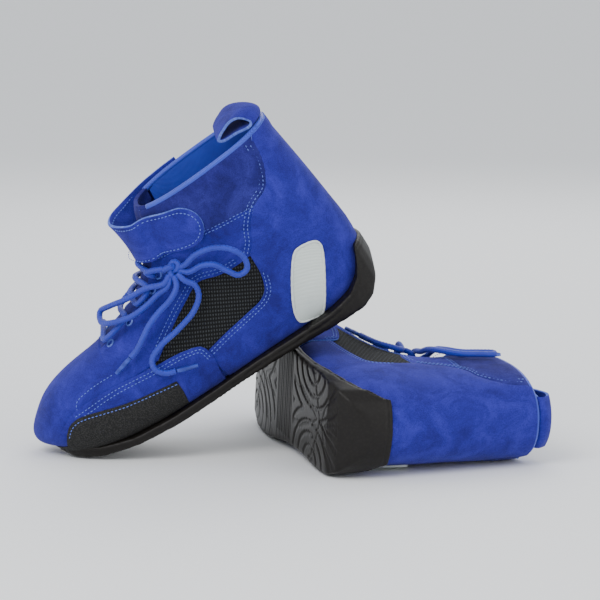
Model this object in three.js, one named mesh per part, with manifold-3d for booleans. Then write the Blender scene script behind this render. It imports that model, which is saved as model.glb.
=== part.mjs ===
// A pair of low ankle sports boots in suede and mesh: hook-and-loop ankle strap, laced throat,
// wide pull loop at the heel and a thin rubber cup sole. The left boot leans on the right one,
// which lies on its outer side. Millimetres, +Z up, floor at z = 0.
//
// Each boot is built in its own frame: x forward from the heel, y to the outer side, z up from
// the flat of its sole. The right boot is the mirror image of the left.
import * as THREE from 'three';
import { mergeVertices } from 'three/addons/utils/BufferGeometryUtils.js';
import Module from 'manifold-3d';

const wasm = await Module();
wasm.setup();

// ---- driving dimensions -------------------------------------------------------------------
const GAP = 0.3;             // air left between two pieces that touch
const CUP_H = 44;            // height of the rubber at the back of the heel
const LINING_T = 1.6;        // soft inner bootie
const BOARD_T = 1.5;         // insole board and heel stiffener
const PANEL_T = 1.6;         // suede and mesh panels
const OVERLAY_T = 1.3;       // pieces sewn on top of the panels
const FOOTBED_T = 3.0;       // loose foam footbed
const FOOT_L = 288;          // inside length of the last, heel to toe
const FOOT_W = 1.0;          // width factor of the last
const COLLAR_FRONT_Z = 153;  // top edge of the shaft at the front and at the back
const COLLAR_BACK_Z = 163.5;
const THROAT_W = 25;         // opening between the two eyelet rows
const TONGUE_W = 40;
const STRAP_W = 33;          // ankle strap, width and thickness
const STRAP_T = 2.4;
const STRAP_BOW = 13;        // how far the closed strap stands off the instep
const LOOP_W = 40;           // pull loop, width, height above the collar and thickness
const LOOP_H = 15;
const LOOP_T = 2.2;
const LACE_D = 4.6;          // round braided lace
const AGLET_D = 3.6;
const AGLET_L = 17;
const LACE_SIDES = 8;        // flats round a lace, and sections and points that a body is built from
const RINGS = 11;
const SPOKES = 18;
const RISE = 26;             // how far the bodies run on above the last section

// ---- colours -------------------------------------------------------------------------------
const finish = (color, roughness, metalness = 0) =>
  new THREE.MeshStandardMaterial({ color, roughness, metalness });
const SUEDE = () => finish(0x2340b4, 0.95);
const SOFT_SUEDE = () => finish(0x2a3fa6, 0.95);
const SATIN = () => finish(0x1f5ad8, 0.6);
const MESH = () => finish(0x16181a, 0.9);
const ABRASION = () => finish(0x1b1c1c, 0.98);
const RUBBER = () => finish(0x1c1c1a, 0.6);
const WHITE = () => finish(0xdfe8e2, 0.7);
const LACE = () => finish(0x1d3fd0, 0.8);
const BOARD = () => finish(0x8f7d62, 0.9);

// ---- the last: sections that swing from upright at the toe to level at the collar ------------
// Each row: ridge x, z; sole or back x, z; outer and inner half width; roundness above and below.
const LAST = [
  [270, 44, 266, 30, 26, 30, 2.2, 2.6],
  [250, 57, 246, 21, 36.5, 36.5, 2.2, 3.0],
  [222, 64, 218, 14, 42, 40, 2.2, 3.4],
  [193, 69, 187, 11, 43.5, 40, 2.2, 3.8],
  [168, 77, 152, 9.6, 42, 38, 2.2, 4.0],
  [149, 85.5, 113, 9.4, 37, 33.5, 2.2, 4.0],
  [136.5, 95, 73, 9.4, 32, 30.5, 2.3, 3.8],
  [127, 105, 35, 9.4, 30.5, 29.5, 2.3, 3.4],
  [119.5, 115.5, 6, 11, 30.5, 29.5, 2.3, 3.0],
  [117, 126, -12, 24, 30, 29.5, 2.3, 2.7],
  [113, 134, -17, 52, 29.5, 29.5, 2.4, 2.5],
  [110, 141, -14, 84, 29.5, 29.5, 2.4, 2.4],
  [108, 147, -10, 116, 30, 30, 2.4, 2.4],
  [106, 153, -5, 150, 30.5, 30.5, 2.4, 2.4],
];
const TOE_END = 0.15;        // share of the sections over which the toe closes
const LAST_L = 288;          // length at which the rows above are written
const lengthScale = FOOT_L / LAST_L;

function catmull(column, t) {
  const n = LAST.length - 1;
  const k = Math.min(Math.floor(t * n), n - 1);
  const f = t * n - k;
  const at = (i) => LAST[Math.min(Math.max(i, 0), n)][column];
  const [a, b, c, d] = [at(k - 1), at(k), at(k + 1), at(k + 2)];
  return 0.5 * (2 * b + (c - a) * f + (2 * a - 5 * b + 4 * c - d) * f * f
    + (3 * b - a - 3 * c + d) * f * f * f);
}

/** Point of the last at section s (0 toe, 1 collar) and angle a (0 ridge, +90 outer side). */
function lastPoint(s, a) {
  let [tx, tz, bx, bz, outer, inner, above, below] = [0, 1, 2, 3, 4, 5, 6, 7].map((c) => catmull(c, s));
  const close = Math.min(s / TOE_END, 1);
  const k = Math.sqrt(1 - (1 - close) ** 2);
  const mx = (tx + bx) / 2;
  const mz = tz * 0.42 + bz * 0.58;
  tx = mx + (tx - mx) * k;
  bx = mx + (bx - mx) * k;
  tz = mz + (tz - mz) * k;
  bz = mz + (bz - mz) * k;
  const c = Math.cos(a);
  const d = Math.sin(a);
  const n = c >= 0 ? above : below;
  const r = (Math.abs(c) ** n + Math.abs(d) ** n) ** (-1 / n);
  const low = 0.22 * Math.max(1 - s / 0.62, 0);
  const u = c * r - low * (1 - (c * r) ** 2);
  const half = (d >= 0 ? outer : inner) * k * FOOT_W;
  return new THREE.Vector3(((tx + bx) / 2 + (tx - bx) / 2 * u) * lengthScale, half * d * r,
    (tz + bz) / 2 + (tz - bz) / 2 * u);
}

/** The same point moved out along the surface's normal. */
function skin(s, a, out) {
  const h = 1e-3;
  const s0 = Math.max(s - h, 1e-3);
  const s1 = Math.min(s + h, 1);
  const along = lastPoint(s1, a).sub(lastPoint(s0, a));
  const round = lastPoint(s, a + h).sub(lastPoint(s, a - h));
  const normal = round.cross(along).normalize();
  return lastPoint(s, a).addScaledVector(normal, out);
}

// ---- helpers for solids -----------------------------------------------------------------------
function toSolid(geometry) {
  const bare = geometry.clone();
  bare.deleteAttribute('normal');
  bare.deleteAttribute('uv');
  const merged = mergeVertices(bare, 1e-4);
  return new wasm.Manifold(new wasm.Mesh({
    numProp: 3,
    vertProperties: new Float32Array(merged.attributes.position.array),
    triVerts: new Uint32Array(merged.index.array),
  }));
}

function toGeometry(solid) {
  const mesh = solid.getMesh();
  const geometry = new THREE.BufferGeometry();
  geometry.setAttribute('position', new THREE.BufferAttribute(mesh.vertProperties, 3));
  geometry.setIndex(new THREE.BufferAttribute(mesh.triVerts, 1));
  geometry.computeVertexNormals();
  return geometry;
}

/** Closed body from rings of points, each ring in the same order, with flat ends. */
function loft(rings) {
  const n = rings[0].length;
  const points = rings.flat();
  const faces = [];
  for (let i = 0; i + 1 < rings.length; i++) {
    for (let j = 0; j < n; j++) {
      const [a, b] = [i * n + j, i * n + (j + 1) % n];
      faces.push(a, b, b + n, a, b + n, a + n);
    }
  }
  for (const [ring, turned] of [[0, true], [rings.length - 1, false]]) {
    const centre = new THREE.Vector3();
    rings[ring].forEach((p) => centre.addScaledVector(p, 1 / n));
    points.push(centre);
    for (let j = 0; j < n; j++) {
      const [a, b] = [ring * n + j, ring * n + (j + 1) % n];
      faces.push(points.length - 1, ...(turned ? [b, a] : [a, b]));
    }
  }
  if (signedVolume(points, faces) < 0) faces.reverse();
  return toSolid(meshOf(points, faces));
}

function meshOf(points, faces) {
  const geometry = new THREE.BufferGeometry();
  geometry.setAttribute('position',
    new THREE.Float32BufferAttribute(points.flatMap((p) => [p.x, p.y, p.z]), 3));
  geometry.setIndex(faces);
  return geometry;
}

function signedVolume(points, faces) {
  let sum = 0;
  for (let i = 0; i < faces.length; i += 3) {
    const [a, b, c] = [0, 1, 2].map((k) => points[faces[i + k]]);
    sum += a.dot(b.clone().cross(c)) / 6;
  }
  return sum;
}

/** The whole last, grown by a thickness and run on straight up above the collar. */
function grown(out) {
  const rings = [];
  for (let i = 0; i <= RINGS; i++) {
    const s = Math.max((i / RINGS) ** 1.15, 0.008);
    const ring = [];
    for (let j = 0; j < SPOKES; j++) ring.push(skin(s, -2 * Math.PI * (j + 0.5) / SPOKES, out));
    rings.push(ring);
  }
  rings.push(rings.at(-1).map((p) => p.clone().setZ(p.z + RISE)));
  return loft(rings);
}

const layer = (inner, outer) => grown(outer).subtract(grown(inner));

/** Upright slab whose outline is drawn from the side, in x and z, reaching from y0 to y1. */
function sideSlab(outline, y0, y1) {
  const shape = new THREE.Shape(outline.map(([x, z]) => new THREE.Vector2(x * lengthScale, z)));
  const geometry = new THREE.ExtrudeGeometry(shape, { depth: y1 - y0, bevelEnabled: false });
  geometry.rotateX(Math.PI / 2).translate(0, y1, 0);
  return toSolid(geometry);
}

/** Flat strip that follows a path, its width along one direction. */
function ribbon(path, across, width, thickness) {
  const rings = path.map((p, i) => {
    const back = path[Math.max(i - 1, 0)];
    const next = path[Math.min(i + 1, path.length - 1)];
    const along = next.clone().sub(back).normalize();
    const side = across.clone().addScaledVector(along, -across.dot(along)).normalize();
    const face = along.clone().cross(side).normalize();
    return [[-1, -1], [1, -1], [1, 1], [-1, 1]].map(([w, t]) => p.clone()
      .addScaledVector(side, w * width / 2).addScaledVector(face, t * thickness / 2));
  });
  return loft(rings);
}

/** Round cord along a smooth curve through its points. */
function cord(points, diameter, steps) {
  const curve = new THREE.CatmullRomCurve3(points.map((p) => new THREE.Vector3(...p)), false, 'centripetal');
  const section = new THREE.Shape();
  for (let i = 0; i < LACE_SIDES; i++) {
    const a = 2 * Math.PI * i / LACE_SIDES;
    section[i ? 'lineTo' : 'moveTo'](Math.cos(a) * diameter / 2, Math.sin(a) * diameter / 2);
  }
  const length = curve.getLength();
  const options = { steps: steps ?? Math.ceil(length / (2.5 * diameter)), extrudePath: curve, bevelEnabled: false };
  return toSolid(new THREE.ExtrudeGeometry(section, options));
}

/** Place on the last seen from the side: which section and angle lie at this x and z. */
function placeAt(x, z, side) {
  const gap = (s) => {
    const ridge = lastPoint(s, 0);
    const sole = lastPoint(s, Math.PI);
    return (ridge.x - sole.x) * (z - sole.z) - (ridge.z - sole.z) * (x - sole.x);
  };
  let [low, high] = [0.02, 1];
  for (let i = 0; i < 40; i++) {
    const middle = (low + high) / 2;
    if (gap(middle) * gap(high) > 0) high = middle;
    else low = middle;
  }
  let [front, back] = [0, Math.PI];
  for (let i = 0; i < 40; i++) {
    const middle = (front + back) / 2;
    const p = lastPoint(low, middle);
    const ridge = lastPoint(low, 0);
    const sole = lastPoint(low, Math.PI);
    const along = (q) => (q.x - sole.x) * (ridge.x - sole.x) + (q.z - sole.z) * (ridge.z - sole.z);
    if (along(p) > along({ x, z })) front = middle;
    else back = middle;
  }
  return [low, side * front];
}

/** Point over the last at this x and z seen from the side, standing out by a distance. */
const over = (x, z, side, out) => skin(...placeAt(x * lengthScale, z, side), out);

// ---- thickness build-up from the foot outwards ------------------------------------------------
const liningOut = LINING_T;
const boardIn = liningOut + GAP;
const panelIn = boardIn + BOARD_T + GAP;
const panelOut = panelIn + PANEL_T;
const overlayIn = panelOut + GAP;
const overlayOut = overlayIn + OVERLAY_T;
const strapMiddle = overlayOut + GAP + STRAP_T / 2;

const BIG = 400;
const collarLine = (lift) => {
  const slope = (COLLAR_FRONT_Z - COLLAR_BACK_Z) / 121;
  const top = (x) => COLLAR_BACK_Z + lift + slope * (x + 10);
  return sideSlab([[-60, -20], [320, -20], [320, top(320)], [-60, top(-60)]], -BIG / 2, BIG / 2);
};

/** Underside of the last as a list of x, z, from the heel to the toe, moved up by a lift. */
const underside = (lift) => [[-24, 28], [-12, 18.5], [6, 11], [35, 9.4], [152, 9.6], [187, 11],
  [218, 14], [246, 21], [262, 28], [290, 44]].map(([x, z]) => [x, z + lift]);

function below(lift) {
  return sideSlab([[-60, -30], [320, -30], [320, 60], ...underside(lift).reverse(), [-60, 44]], -BIG / 2, BIG / 2);
}

// ---- outlines seen from the side --------------------------------------------------------------
const MESH_EDGE = [[53, 83], [54, 67], [58, 55], [64, 50], [79, 46], [99, 42], [119, 38], [132, 45],
  [151, 46], [193, 47], [154, 51], [131, 65], [111, 77], [96, 85], [79, 82], [64, 82]];
const REAR_SEAM = [[52.6, 84], [46, 92], [41, 103], [30, 116], [17, 123], [10, 139], [8, 200]];
const COLLAR_SEAM = [[30.5, 118], [41, 119], [62, 120], [74, 121], [112, 118.5], [150, 118.5]];
const inset = GAP + 0.1;     // seam gap between two neighbouring panels

const meshOutline = MESH_EDGE;
const rearOutline = [[-80, -20], [118.6, -20], [118.6, 37.4], [99, 41.4], [79, 45.4], [63.6, 49.4],
  [57.4, 54.6], [53.4, 66.8], [52.3, 83.6], ...REAR_SEAM.slice(1).map(([x, z]) => [x - inset, z]), [-80, 200]];
const quarterOutline = [[53.4, 83.6], [64, 82.5], [79, 82.5], [96, 85.5], [111.3, 77.5], [131.4, 65.4],
  [154.2, 51.5], [193, 47.6], [216, 42], [228, 45], [226, 53], [214, 57], [188, 58], [188, 110],
  [150, 118], [112, 118], [74, 120.5], [62, 119.5], [41, 118.5], [31, 117.4], [41.4, 103.2], [46.4, 92.2]];
const collarOutline = [[10.6, 139.2], [17.4, 123.6], [30.5, 118.2], ...COLLAR_SEAM.slice(1), [150, 200], [8.6, 200]];
const vampOutline = [[119.2, -20], [119.2, 37.6], [132.2, 44.5], [151, 45.5], [193, 46.5], [216, 41.4],
  [228.6, 44.6], [226.6, 53.4], [214, 57.5], [188.5, 58.5], [188.5, 110], [320, 110], [320, -20]];
const saddleOutline = [[124, -20], [120, 19], [118, 33], [122, 43], [150, 48.5], [192, 49.5], [230, 46.5],
  [244, 40], [241, 38.6], [229, 43.6], [151.4, 32.6], [149.9, 23], [152.6, 4], [152.6, -20]];
const patchOutline = [[153.4, -20], [153.4, 4], [150.6, 23], [151.8, 32], [229, 43], [240.4, 38], [246.4, 25], [247, -20]];
const padOutline = [[78, 121], [108, 119], [112, 124], [112, 140], [108, 145], [78, 145], [74, 140], [74, 126]];
const emblemOutline = [[38, 15], [50, 19], [26, 66], [20, 70], [6, 66], [4, 60], [27, 18], [32, 14]];
const throatZone = [[188, 100], [188, 56], [150, 72], [112, 100], [92, 125], [86, 200], [150, 200]];
const RUBBER_TOP = [[263, 28], [257, 29], [246, 25.5], [229, 17], [202, 10.5], [168, 8.5], [124, 8.2],
  [62, 9.5], [24, 11.5], [4, 16], [-7, 24], [-13, 34], [-17, CUP_H]];
const RUBBER_BOTTOM = [[-32, CUP_H], [-27, 30], [-20, 13], [-11, 4], [0, 0], [150, 0], [168, 0.6], [202, 3.2],
  [229, 8], [250, 15]];
const soleEdge = [[-26, 0], [-22, 18], [-9, 33], [20, 38.5], [60, 37.5], [100, 39], [140, 46], [175, 50.5],
  [210, 50], [240, 42], [258, 26], [266, 4], [261, -24], [238, -42], [205, -46.5], [165, -45.5],
  [130, -41], [95, -36.5], [60, -35.5], [20, -37], [-9, -32], [-22, -18]];

// ---- the pieces of one boot -----------------------------------------------------------------------
const lining = layer(0, liningOut);
const boards = layer(boardIn, boardIn + BOARD_T);
const panels = layer(panelIn, panelOut);
const overlays = layer(overlayIn, overlayOut);
const collarTop = collarLine(0);
const lastingEdge = below(2);
const throat = sideSlab(throatZone, -THROAT_W / 2, THROAT_W / 2);
const upperZone = panels.intersect(collarTop).subtract(lastingEdge);

function outsole() {
  const plan = new THREE.Shape();
  plan.moveTo(soleEdge[0][0] * lengthScale, soleEdge[0][1] * FOOT_W);
  plan.splineThru([...soleEdge.slice(1), soleEdge[0]]
    .map(([x, y]) => new THREE.Vector2(x * lengthScale, y * FOOT_W)));
  const slab = toSolid(new THREE.ExtrudeGeometry(plan, { depth: 80, bevelEnabled: false, curveSegments: 2 })
    .translate(0, 0, -10));
  return slab.subtract(grown(panelOut + GAP)).intersect(sideSlab([...RUBBER_BOTTOM, ...RUBBER_TOP], -BIG / 2, BIG / 2));
}

/** The main body of a cut solid, without any sliver that the cut leaves at an edge. */
const mainBody = (solid) => solid.decompose().reduce((a, b) => (a.volume() > b.volume() ? a : b));

/** A sewn-on or base panel: part of a layer inside an outline, on one side or on both. */
function panel(from, outline, side) {
  const [y0, y1] = side === 0 ? [-BIG / 2, BIG / 2] : side > 0 ? [0.5, BIG / 2] : [-BIG / 2, -0.5];
  return mainBody(from.intersect(sideSlab(outline, y0, y1)));
}

const vec = (list) => new THREE.Vector3(...list);
const UP = new THREE.Vector3(0, 0, 1);
const tongueOut = 3;
const tongueZone = sideSlab(throatZone, -TONGUE_W / 2, TONGUE_W / 2);
const slotZone = throatZone.map(([x, z]) => [x + (x > 187 ? 3 : -3), z - 3]);   // room for the tongue to fold
const tongueSlot = sideSlab(slotZone, -TONGUE_W / 2 - 1, TONGUE_W / 2 + 1);

/** Strap from the inner side of the shaft round the front, standing off the instep in a bow. */
function strapPath() {
  const front = lastPoint(0.78, 0).x + panelOut + STRAP_BOW + STRAP_T;
  return [over(66, 144, -1, strapMiddle + 0.8), over(80, 143, -1, strapMiddle + 1), over(93, 141.5, -1, strapMiddle + 1.5),
    vec([front - 15, -21, 138]), vec([front - 4, -12, 136.5]), vec([front, 0, 134.5]),
    vec([front - 4.5, 13, 133]), vec([front - 15, 24, 132])];
}

/** Free end of the strap, with its rounded tip, lying on the fastener pad. */
function strapTip() {
  const clear = 2.3 + STRAP_W * 0.024;        // a wider strip needs more room between its two parts
  const start = strapPath().at(-1).add(new THREE.Vector3(-0.757, 0.654, 0).multiplyScalar(clear));
  const path = [start, over(103, 131, 1, strapMiddle + 1.4), over(90, 130, 1, strapMiddle + 1.4),
    over(78, 129, 1, strapMiddle + 1.4), over(68, 128.5, 1, strapMiddle + 1.4)];
  const strip = ribbon(path, UP, STRAP_W, STRAP_T);
  const middle = 129.5;
  const nose = new THREE.Shape();
  nose.moveTo(160, middle + 40).lineTo(90, middle + STRAP_W / 2 + 1.5);
  nose.absarc(88, middle, STRAP_W / 2 - 0.5, Math.PI / 2, 3 * Math.PI / 2, false);
  nose.lineTo(160, middle - 40);
  const geometry = new THREE.ExtrudeGeometry(nose, { depth: BIG, bevelEnabled: false, curveSegments: 6 });
  return strip.intersect(toSolid(geometry.rotateX(Math.PI / 2).translate(0, BIG / 2, 0)));
}

/** Wide webbing loop standing on the back of the collar and folded forward over the opening. */
function pullLoop() {
  const base = COLLAR_BACK_Z + GAP + 0.9;
  const outer = [[-10, 0], [-11.5, 5], [-7.5, 11], [1, LOOP_H], [13, LOOP_H], [25, 10.5], [30, 5], [27, 0.5], [10, 0]];
  const t = LOOP_T;
  const hole = [[-10 + t, t], [-11.5 + t, 5], [-7.5 + t, 11 - t * 0.6], [1, LOOP_H - t], [13, LOOP_H - t],
    [25 - t, 10.5 - t * 0.6], [30 - t, 5], [27 - t, t], [10, t]];
  const slab = (outline) => sideSlab(outline.map(([x, z]) => [x / lengthScale, base + z]), -LOOP_W / 2, LOOP_W / 2);
  return slab(outer).subtract(slab(hole));
}

const laceLift = 3.7;        // the lace rides this far clear of the panels

const LACE_ROWS = 5;
const eyeletSection = (row) => 0.27 + 0.072 * row;

/** Eyelet place in a row, numbered from the toe, on the side given. */
const eyelet = (row, side) => {
  const s = eyeletSection(row);
  let [low, high] = [0, Math.PI / 2];
  for (let i = 0; i < 30; i++) {
    const middle = (low + high) / 2;
    if (lastPoint(s, middle).y < THROAT_W / 2 + 4.5) low = middle;
    else high = middle;
  }
  return skin(s, side * low, panelOut + laceLift + LACE_D / 2).toArray();
};

/** Boot-frame points lying over one side, each given as x, z and its distance out from the last. */
const onSide = (side, rows) => rows.map(([x, z, out]) => over(x, z, side, out).toArray());

/** How the bow lies on each boot: its knot, two loops and two free ends, as boot-frame points. */
const BOWS = {
  left: {
    up: [[127, 27, 111.5], [115, 33.5, 110]],
    knot: [108, 33.5, 105.5],
    loopOuter: [[98, 36.5, 104.5], [87, 39.5, 108], [73, 42, 106.5], [62, 44, 99.5], [56.5, 45, 89], [59, 45, 79.5],
      [67, 43.5, 78], [73, 43, 86], [78.5, 42, 94.5], [87, 40.5, 98.5], [98, 38, 98.5]],
    loopInner: [[118.5, 37, 100.5], [133, 29.5, 102], [151, 20, 99.5], [167, 7, 97.5], [177, -3, 94.5],
      [179, 10, 91], [169, 26, 91], [153, 32, 89.5], [139, 32, 91], [128, 34.5, 94.5], [117.5, 37, 97]],
    endInner: [[111.5, 40, 94.5], [121, 40.5, 88], [134, 40.5, 84], [145, 41.5, 79.5], [154, 43, 74],
      [163, 44.5, 68.5], [170, 44.5, 66]],
    endOuter: [[104, 40, 95], [99.5, 40.5, 88], [101, 40.5, 79.5], [111, 42, 71], [128, 45, 66], [146, 47, 62.5],
      [156.5, 49.5, 57.5], [158.5, 52, 50.5], [153.5, 53, 44], [145.5, 52, 40.5]],
  },
  right: {
    up: [[138, 14, 109.5]],
    knot: [140, -2, 108],
    loopOuter: [[143.5, 9.5, 109], [150, 18.5, 105.5], [162, 31, 101], [173, 40, 95], [181, 42, 97], [178, 38, 105],
      [166, 30, 109.5], [152, 18, 110.8], [143, 8, 112.8]],
    loopInner: [[141, -11.5, 111.5], ...onSide(-1, [[112, 115, 12], [94, 116, 12], [76, 118, 12], [60, 126, 12],
      [56.5, 138, 12], [53, 148, 12], [47.5, 147, 12], [49.5, 135, 12], [54.5, 121, 12], [72, 109.5, 12],
      [90, 108, 11.5], [104, 107.5, 11]]), [133.5, -24, 110.5], [139, -12, 106.5]],
    endInner: [[148.5, -11, 101.5], [140, -23, 99], [127, -33, 96], ...onSide(-1, [[110, 91, 9.5], [106, 81, 9.5],
      [112, 73, 9.5], [122, 67, 9.5], [132, 62, 9.5]])],
    endOuter: [[150, 7, 101], [157, 16, 98], [161, 24, 91], [168, 35, 86], [178, 43, 82], [192, 46, 77],
      [206, 47.5, 72]],
  },
};
const KNOT_SIZE = [8, 6.2, 7];

/** The laced stretch, held by the eyelets, with the bow's knot at its upper end. */
function lacing(bow) {
  const points = [];
  for (let row = 0; row < LACE_ROWS; row++) {
    const first = row % 2 ? 1 : -1;
    const middle = skin(eyeletSection(row), 0, tongueOut + laceLift + LACE_D / 2).toArray();
    points.push(eyelet(row, first), middle, eyelet(row, -first));
  }
  points.push(...bow.up, bow.knot);
  const knot = new THREE.SphereGeometry(1, 10, 7).scale(...KNOT_SIZE).translate(...bow.knot);
  return cord(points, LACE_D, 40).add(toSolid(knot));
}

/** Hard tip on a lace end, in line with the lace's last stretch. */
function aglet(points) {
  const [a, b] = points.slice(-2).map(vec);
  const along = b.clone().sub(a).normalize();
  const start = b.clone().addScaledVector(along, GAP);
  return cord([start.toArray(), start.clone().addScaledVector(along, AGLET_L).toArray()], AGLET_D, 1);
}

function bootPieces(bow) {
  const rubberZone = [[-60, -20], [320, -20], [320, 60], ...RUBBER_TOP, [-18, CUP_H], [-60, CUP_H]];
  const covers = overlays.intersect(collarTop)
    .subtract(sideSlab(rubberZone.map(([x, z]) => [x, z + GAP + 0.2]), -BIG / 2, BIG / 2));
  const sides = upperZone.subtract(throat);
  return [
    ['outsole', outsole(), RUBBER()],
    ['insole_board', boards.intersect(below(1.5)), BOARD()],
    ['heel_counter', panel(boards.subtract(below(2.2)), [[-60, 0], [46, 0], [40, 40], [20, 60], [-60, 64]], 0), BOARD()],
    ['footbed', layer(-GAP - FOOTBED_T, -GAP).intersect(below(4)), SATIN()],
    ['lining', lining.intersect(collarTop).subtract(tongueSlot), SATIN()],
    ['tongue', layer(0.4, tongueOut).intersect(tongueZone).intersect(collarLine(4)), SOFT_SUEDE()],
    ['toe_vamp', panel(sides, vampOutline, 0), SUEDE()],
    ['rear_panel', panel(sides, rearOutline, 0), SUEDE()],
    ['lateral_mesh', panel(sides, meshOutline, 1), MESH()],
    ['medial_mesh', panel(sides, meshOutline, -1), MESH()],
    ['lateral_quarter', panel(sides, quarterOutline, 1), SUEDE()],
    ['medial_quarter', panel(sides, quarterOutline, -1), SUEDE()],
    ['lateral_collar', panel(sides, collarOutline, 1), SOFT_SUEDE()],
    ['medial_collar', panel(sides, collarOutline, -1), SOFT_SUEDE()],
    ['lateral_saddle', panel(covers, saddleOutline, 1), SUEDE()],
    ['medial_saddle', panel(covers, saddleOutline, -1), SUEDE()],
    ['abrasion_patch', panel(covers, patchOutline, 1), ABRASION()],
    ['emblem_patch', panel(covers, emblemOutline, 1), WHITE()],
    ['fastener_pad', panel(covers, padOutline, 1), SOFT_SUEDE()],
    ['ankle_strap', ribbon(strapPath(), UP, STRAP_W, STRAP_T), SUEDE()],
    ['strap_tip', strapTip(), SUEDE()],
    ['pull_loop', pullLoop(), SUEDE()],
    ['lacing', lacing(bow), LACE()],
    ['lace_loop_outer', cord(bow.loopOuter, LACE_D, 16), LACE()],
    ['lace_loop_inner', cord(bow.loopInner, LACE_D, 16), LACE()],
    ['lace_end_outer', cord(bow.endOuter, LACE_D, 16), LACE()],
    ['lace_end_inner', cord(bow.endInner, LACE_D, 16), LACE()],
    ['aglet_outer', aglet(bow.endOuter), LACE()],
    ['aglet_inner', aglet(bow.endInner), LACE()],
  ];
}

// ---- the pair, as it lies -----------------------------------------------------------------------------
const RIGHT_POSE = { at: [25.5, -108.3, 37.2], forward: [-0.2715, 0.9594, 0.0771], up: [0.9613, 0.2742, -0.0273] };
const LEFT_POSE = { at: [51.9, 0, 126.4], forward: [-0.8564, 0.0082, -0.5163], up: [-0.5268, -0.2313, 0.8179] };
const ON_CORD = /lace_|aglet/;

function placed(side, pose) {
  const group = new THREE.Group();
  const forward = vec(pose.forward).normalize();
  const outward = vec(pose.up).cross(forward).normalize();
  const up = forward.clone().cross(outward);
  group.applyMatrix4(new THREE.Matrix4().makeBasis(forward, outward, up).setPosition(...pose.at));
  const mirrored = new THREE.Group();
  if (side === 'right') mirrored.scale.y = -1;
  group.add(mirrored);
  for (const [name, solid, material] of bootPieces(BOWS[side])) {
    const mesh = new THREE.Mesh(toGeometry(solid), material);
    mesh.name = `${side}_${name}`;
    mirrored.add(mesh);
  }
  group.updateMatrixWorld(true);
  return group;
}

/** Box round a boot in the world, with or without what hangs on its lace ends. */
function extent(groups, withCords) {
  const box = new THREE.Box3();
  groups.forEach((group) => group.traverse((o) => {
    if (o.isMesh && (withCords || !ON_CORD.test(o.name))) box.union(new THREE.Box3().setFromObject(o, true));
  }));
  return box;
}

function ground(group) {
  group.position.z -= extent([group], false).min.z;
  group.updateMatrixWorld(true);
}

/** How deep one boot's shell reaches into the other's, as a volume. */
function clash(first, second) {
  const shell = (group) => {
    let sum = null;
    group.traverse((o) => {
      if (!o.isMesh || !/outsole|toe_vamp|quarter|mesh|rear_panel|saddle|lacing/.test(o.name)) return;
      const world = o.geometry.clone().applyMatrix4(o.matrixWorld);
      if (o.matrixWorld.determinant() < 0) world.index.array.reverse();
      const solid = toSolid(world);
      sum = sum ? sum.add(solid) : solid;
    });
    return sum;
  };
  return shell(first).intersect(shell(second)).volume();
}

/** Lifts the leaning boot until it just clears the one it leans on. */
function rest(leaning, lying) {
  const floor = leaning.position.z;
  let [low, high] = [0, 80];
  while (high - low > 0.05) {
    const lift = low === 0 && high === 80 ? GAP : (low + high) / 2;
    leaning.position.z = floor + lift;
    leaning.updateMatrixWorld(true);
    if (clash(leaning, lying) > 0) low = lift;
    else high = lift;
  }
  leaning.position.z = floor + high;
  leaning.updateMatrixWorld(true);
}

const left = placed('left', LEFT_POSE);
const right = placed('right', RIGHT_POSE);
ground(left);
ground(right);
rest(left, right);

const pair = new THREE.Group();
pair.add(left, right);
const solidBox = extent([left, right], false);
const middle = solidBox.getCenter(new THREE.Vector3());
pair.position.set(-middle.x, -middle.y, -solidBox.min.z);
pair.updateMatrixWorld(true);

export default pair;
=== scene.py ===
# %% [markdown]
# # A pair of suede ankle boots
# Two thin-soled sports boots: one lies on its outer side, the other leans on it with its toe on the
# floor. Every panel is cut as a flat shape and then laid over one shared foot form, the last, which
# is how a shoemaker works too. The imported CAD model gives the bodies, the joints and the scale.
import math

import bmesh
import bpy
import numpy as np
from mathutils import Matrix, Vector, kdtree


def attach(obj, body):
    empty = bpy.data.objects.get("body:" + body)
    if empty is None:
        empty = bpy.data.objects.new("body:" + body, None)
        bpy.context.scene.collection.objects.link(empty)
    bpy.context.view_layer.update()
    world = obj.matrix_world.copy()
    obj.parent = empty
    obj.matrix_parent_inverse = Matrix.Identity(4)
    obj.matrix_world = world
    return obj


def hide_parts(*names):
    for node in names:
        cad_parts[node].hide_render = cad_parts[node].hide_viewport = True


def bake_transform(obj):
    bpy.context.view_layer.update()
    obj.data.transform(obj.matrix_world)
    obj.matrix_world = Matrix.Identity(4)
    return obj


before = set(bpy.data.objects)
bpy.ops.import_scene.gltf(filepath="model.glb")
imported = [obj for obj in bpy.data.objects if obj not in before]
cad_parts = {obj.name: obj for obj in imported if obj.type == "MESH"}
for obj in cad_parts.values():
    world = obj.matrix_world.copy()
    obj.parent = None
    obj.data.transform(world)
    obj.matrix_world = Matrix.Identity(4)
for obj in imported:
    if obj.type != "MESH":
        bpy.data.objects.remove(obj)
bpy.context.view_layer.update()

MM = 0.001                    # the boots are worked out in millimetres and placed in metres
SIDES = ("left", "right")

# %% [markdown]
# ## Camera
# A long lens from about two metres, a little above the floor, so the shapes stay undistorted.

# %% Camera
VIEW = Vector((0, 0.9911, -0.1331))
camera_data = bpy.data.cameras.new("camera")
camera_data.sensor_width = 36
camera_data.lens = 148.2
camera_data.shift_x = 0.0137
camera_data.shift_y = -0.0125
camera = bpy.data.objects.new("camera", camera_data)
camera.location = Vector((1.66, -1922.1, 379.4)) * MM
camera.rotation_euler = VIEW.to_track_quat("-Z", "Y").to_euler()
bpy.context.scene.collection.objects.link(camera)
bpy.context.scene.camera = camera
print("lens", camera_data.lens, "mm")

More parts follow.
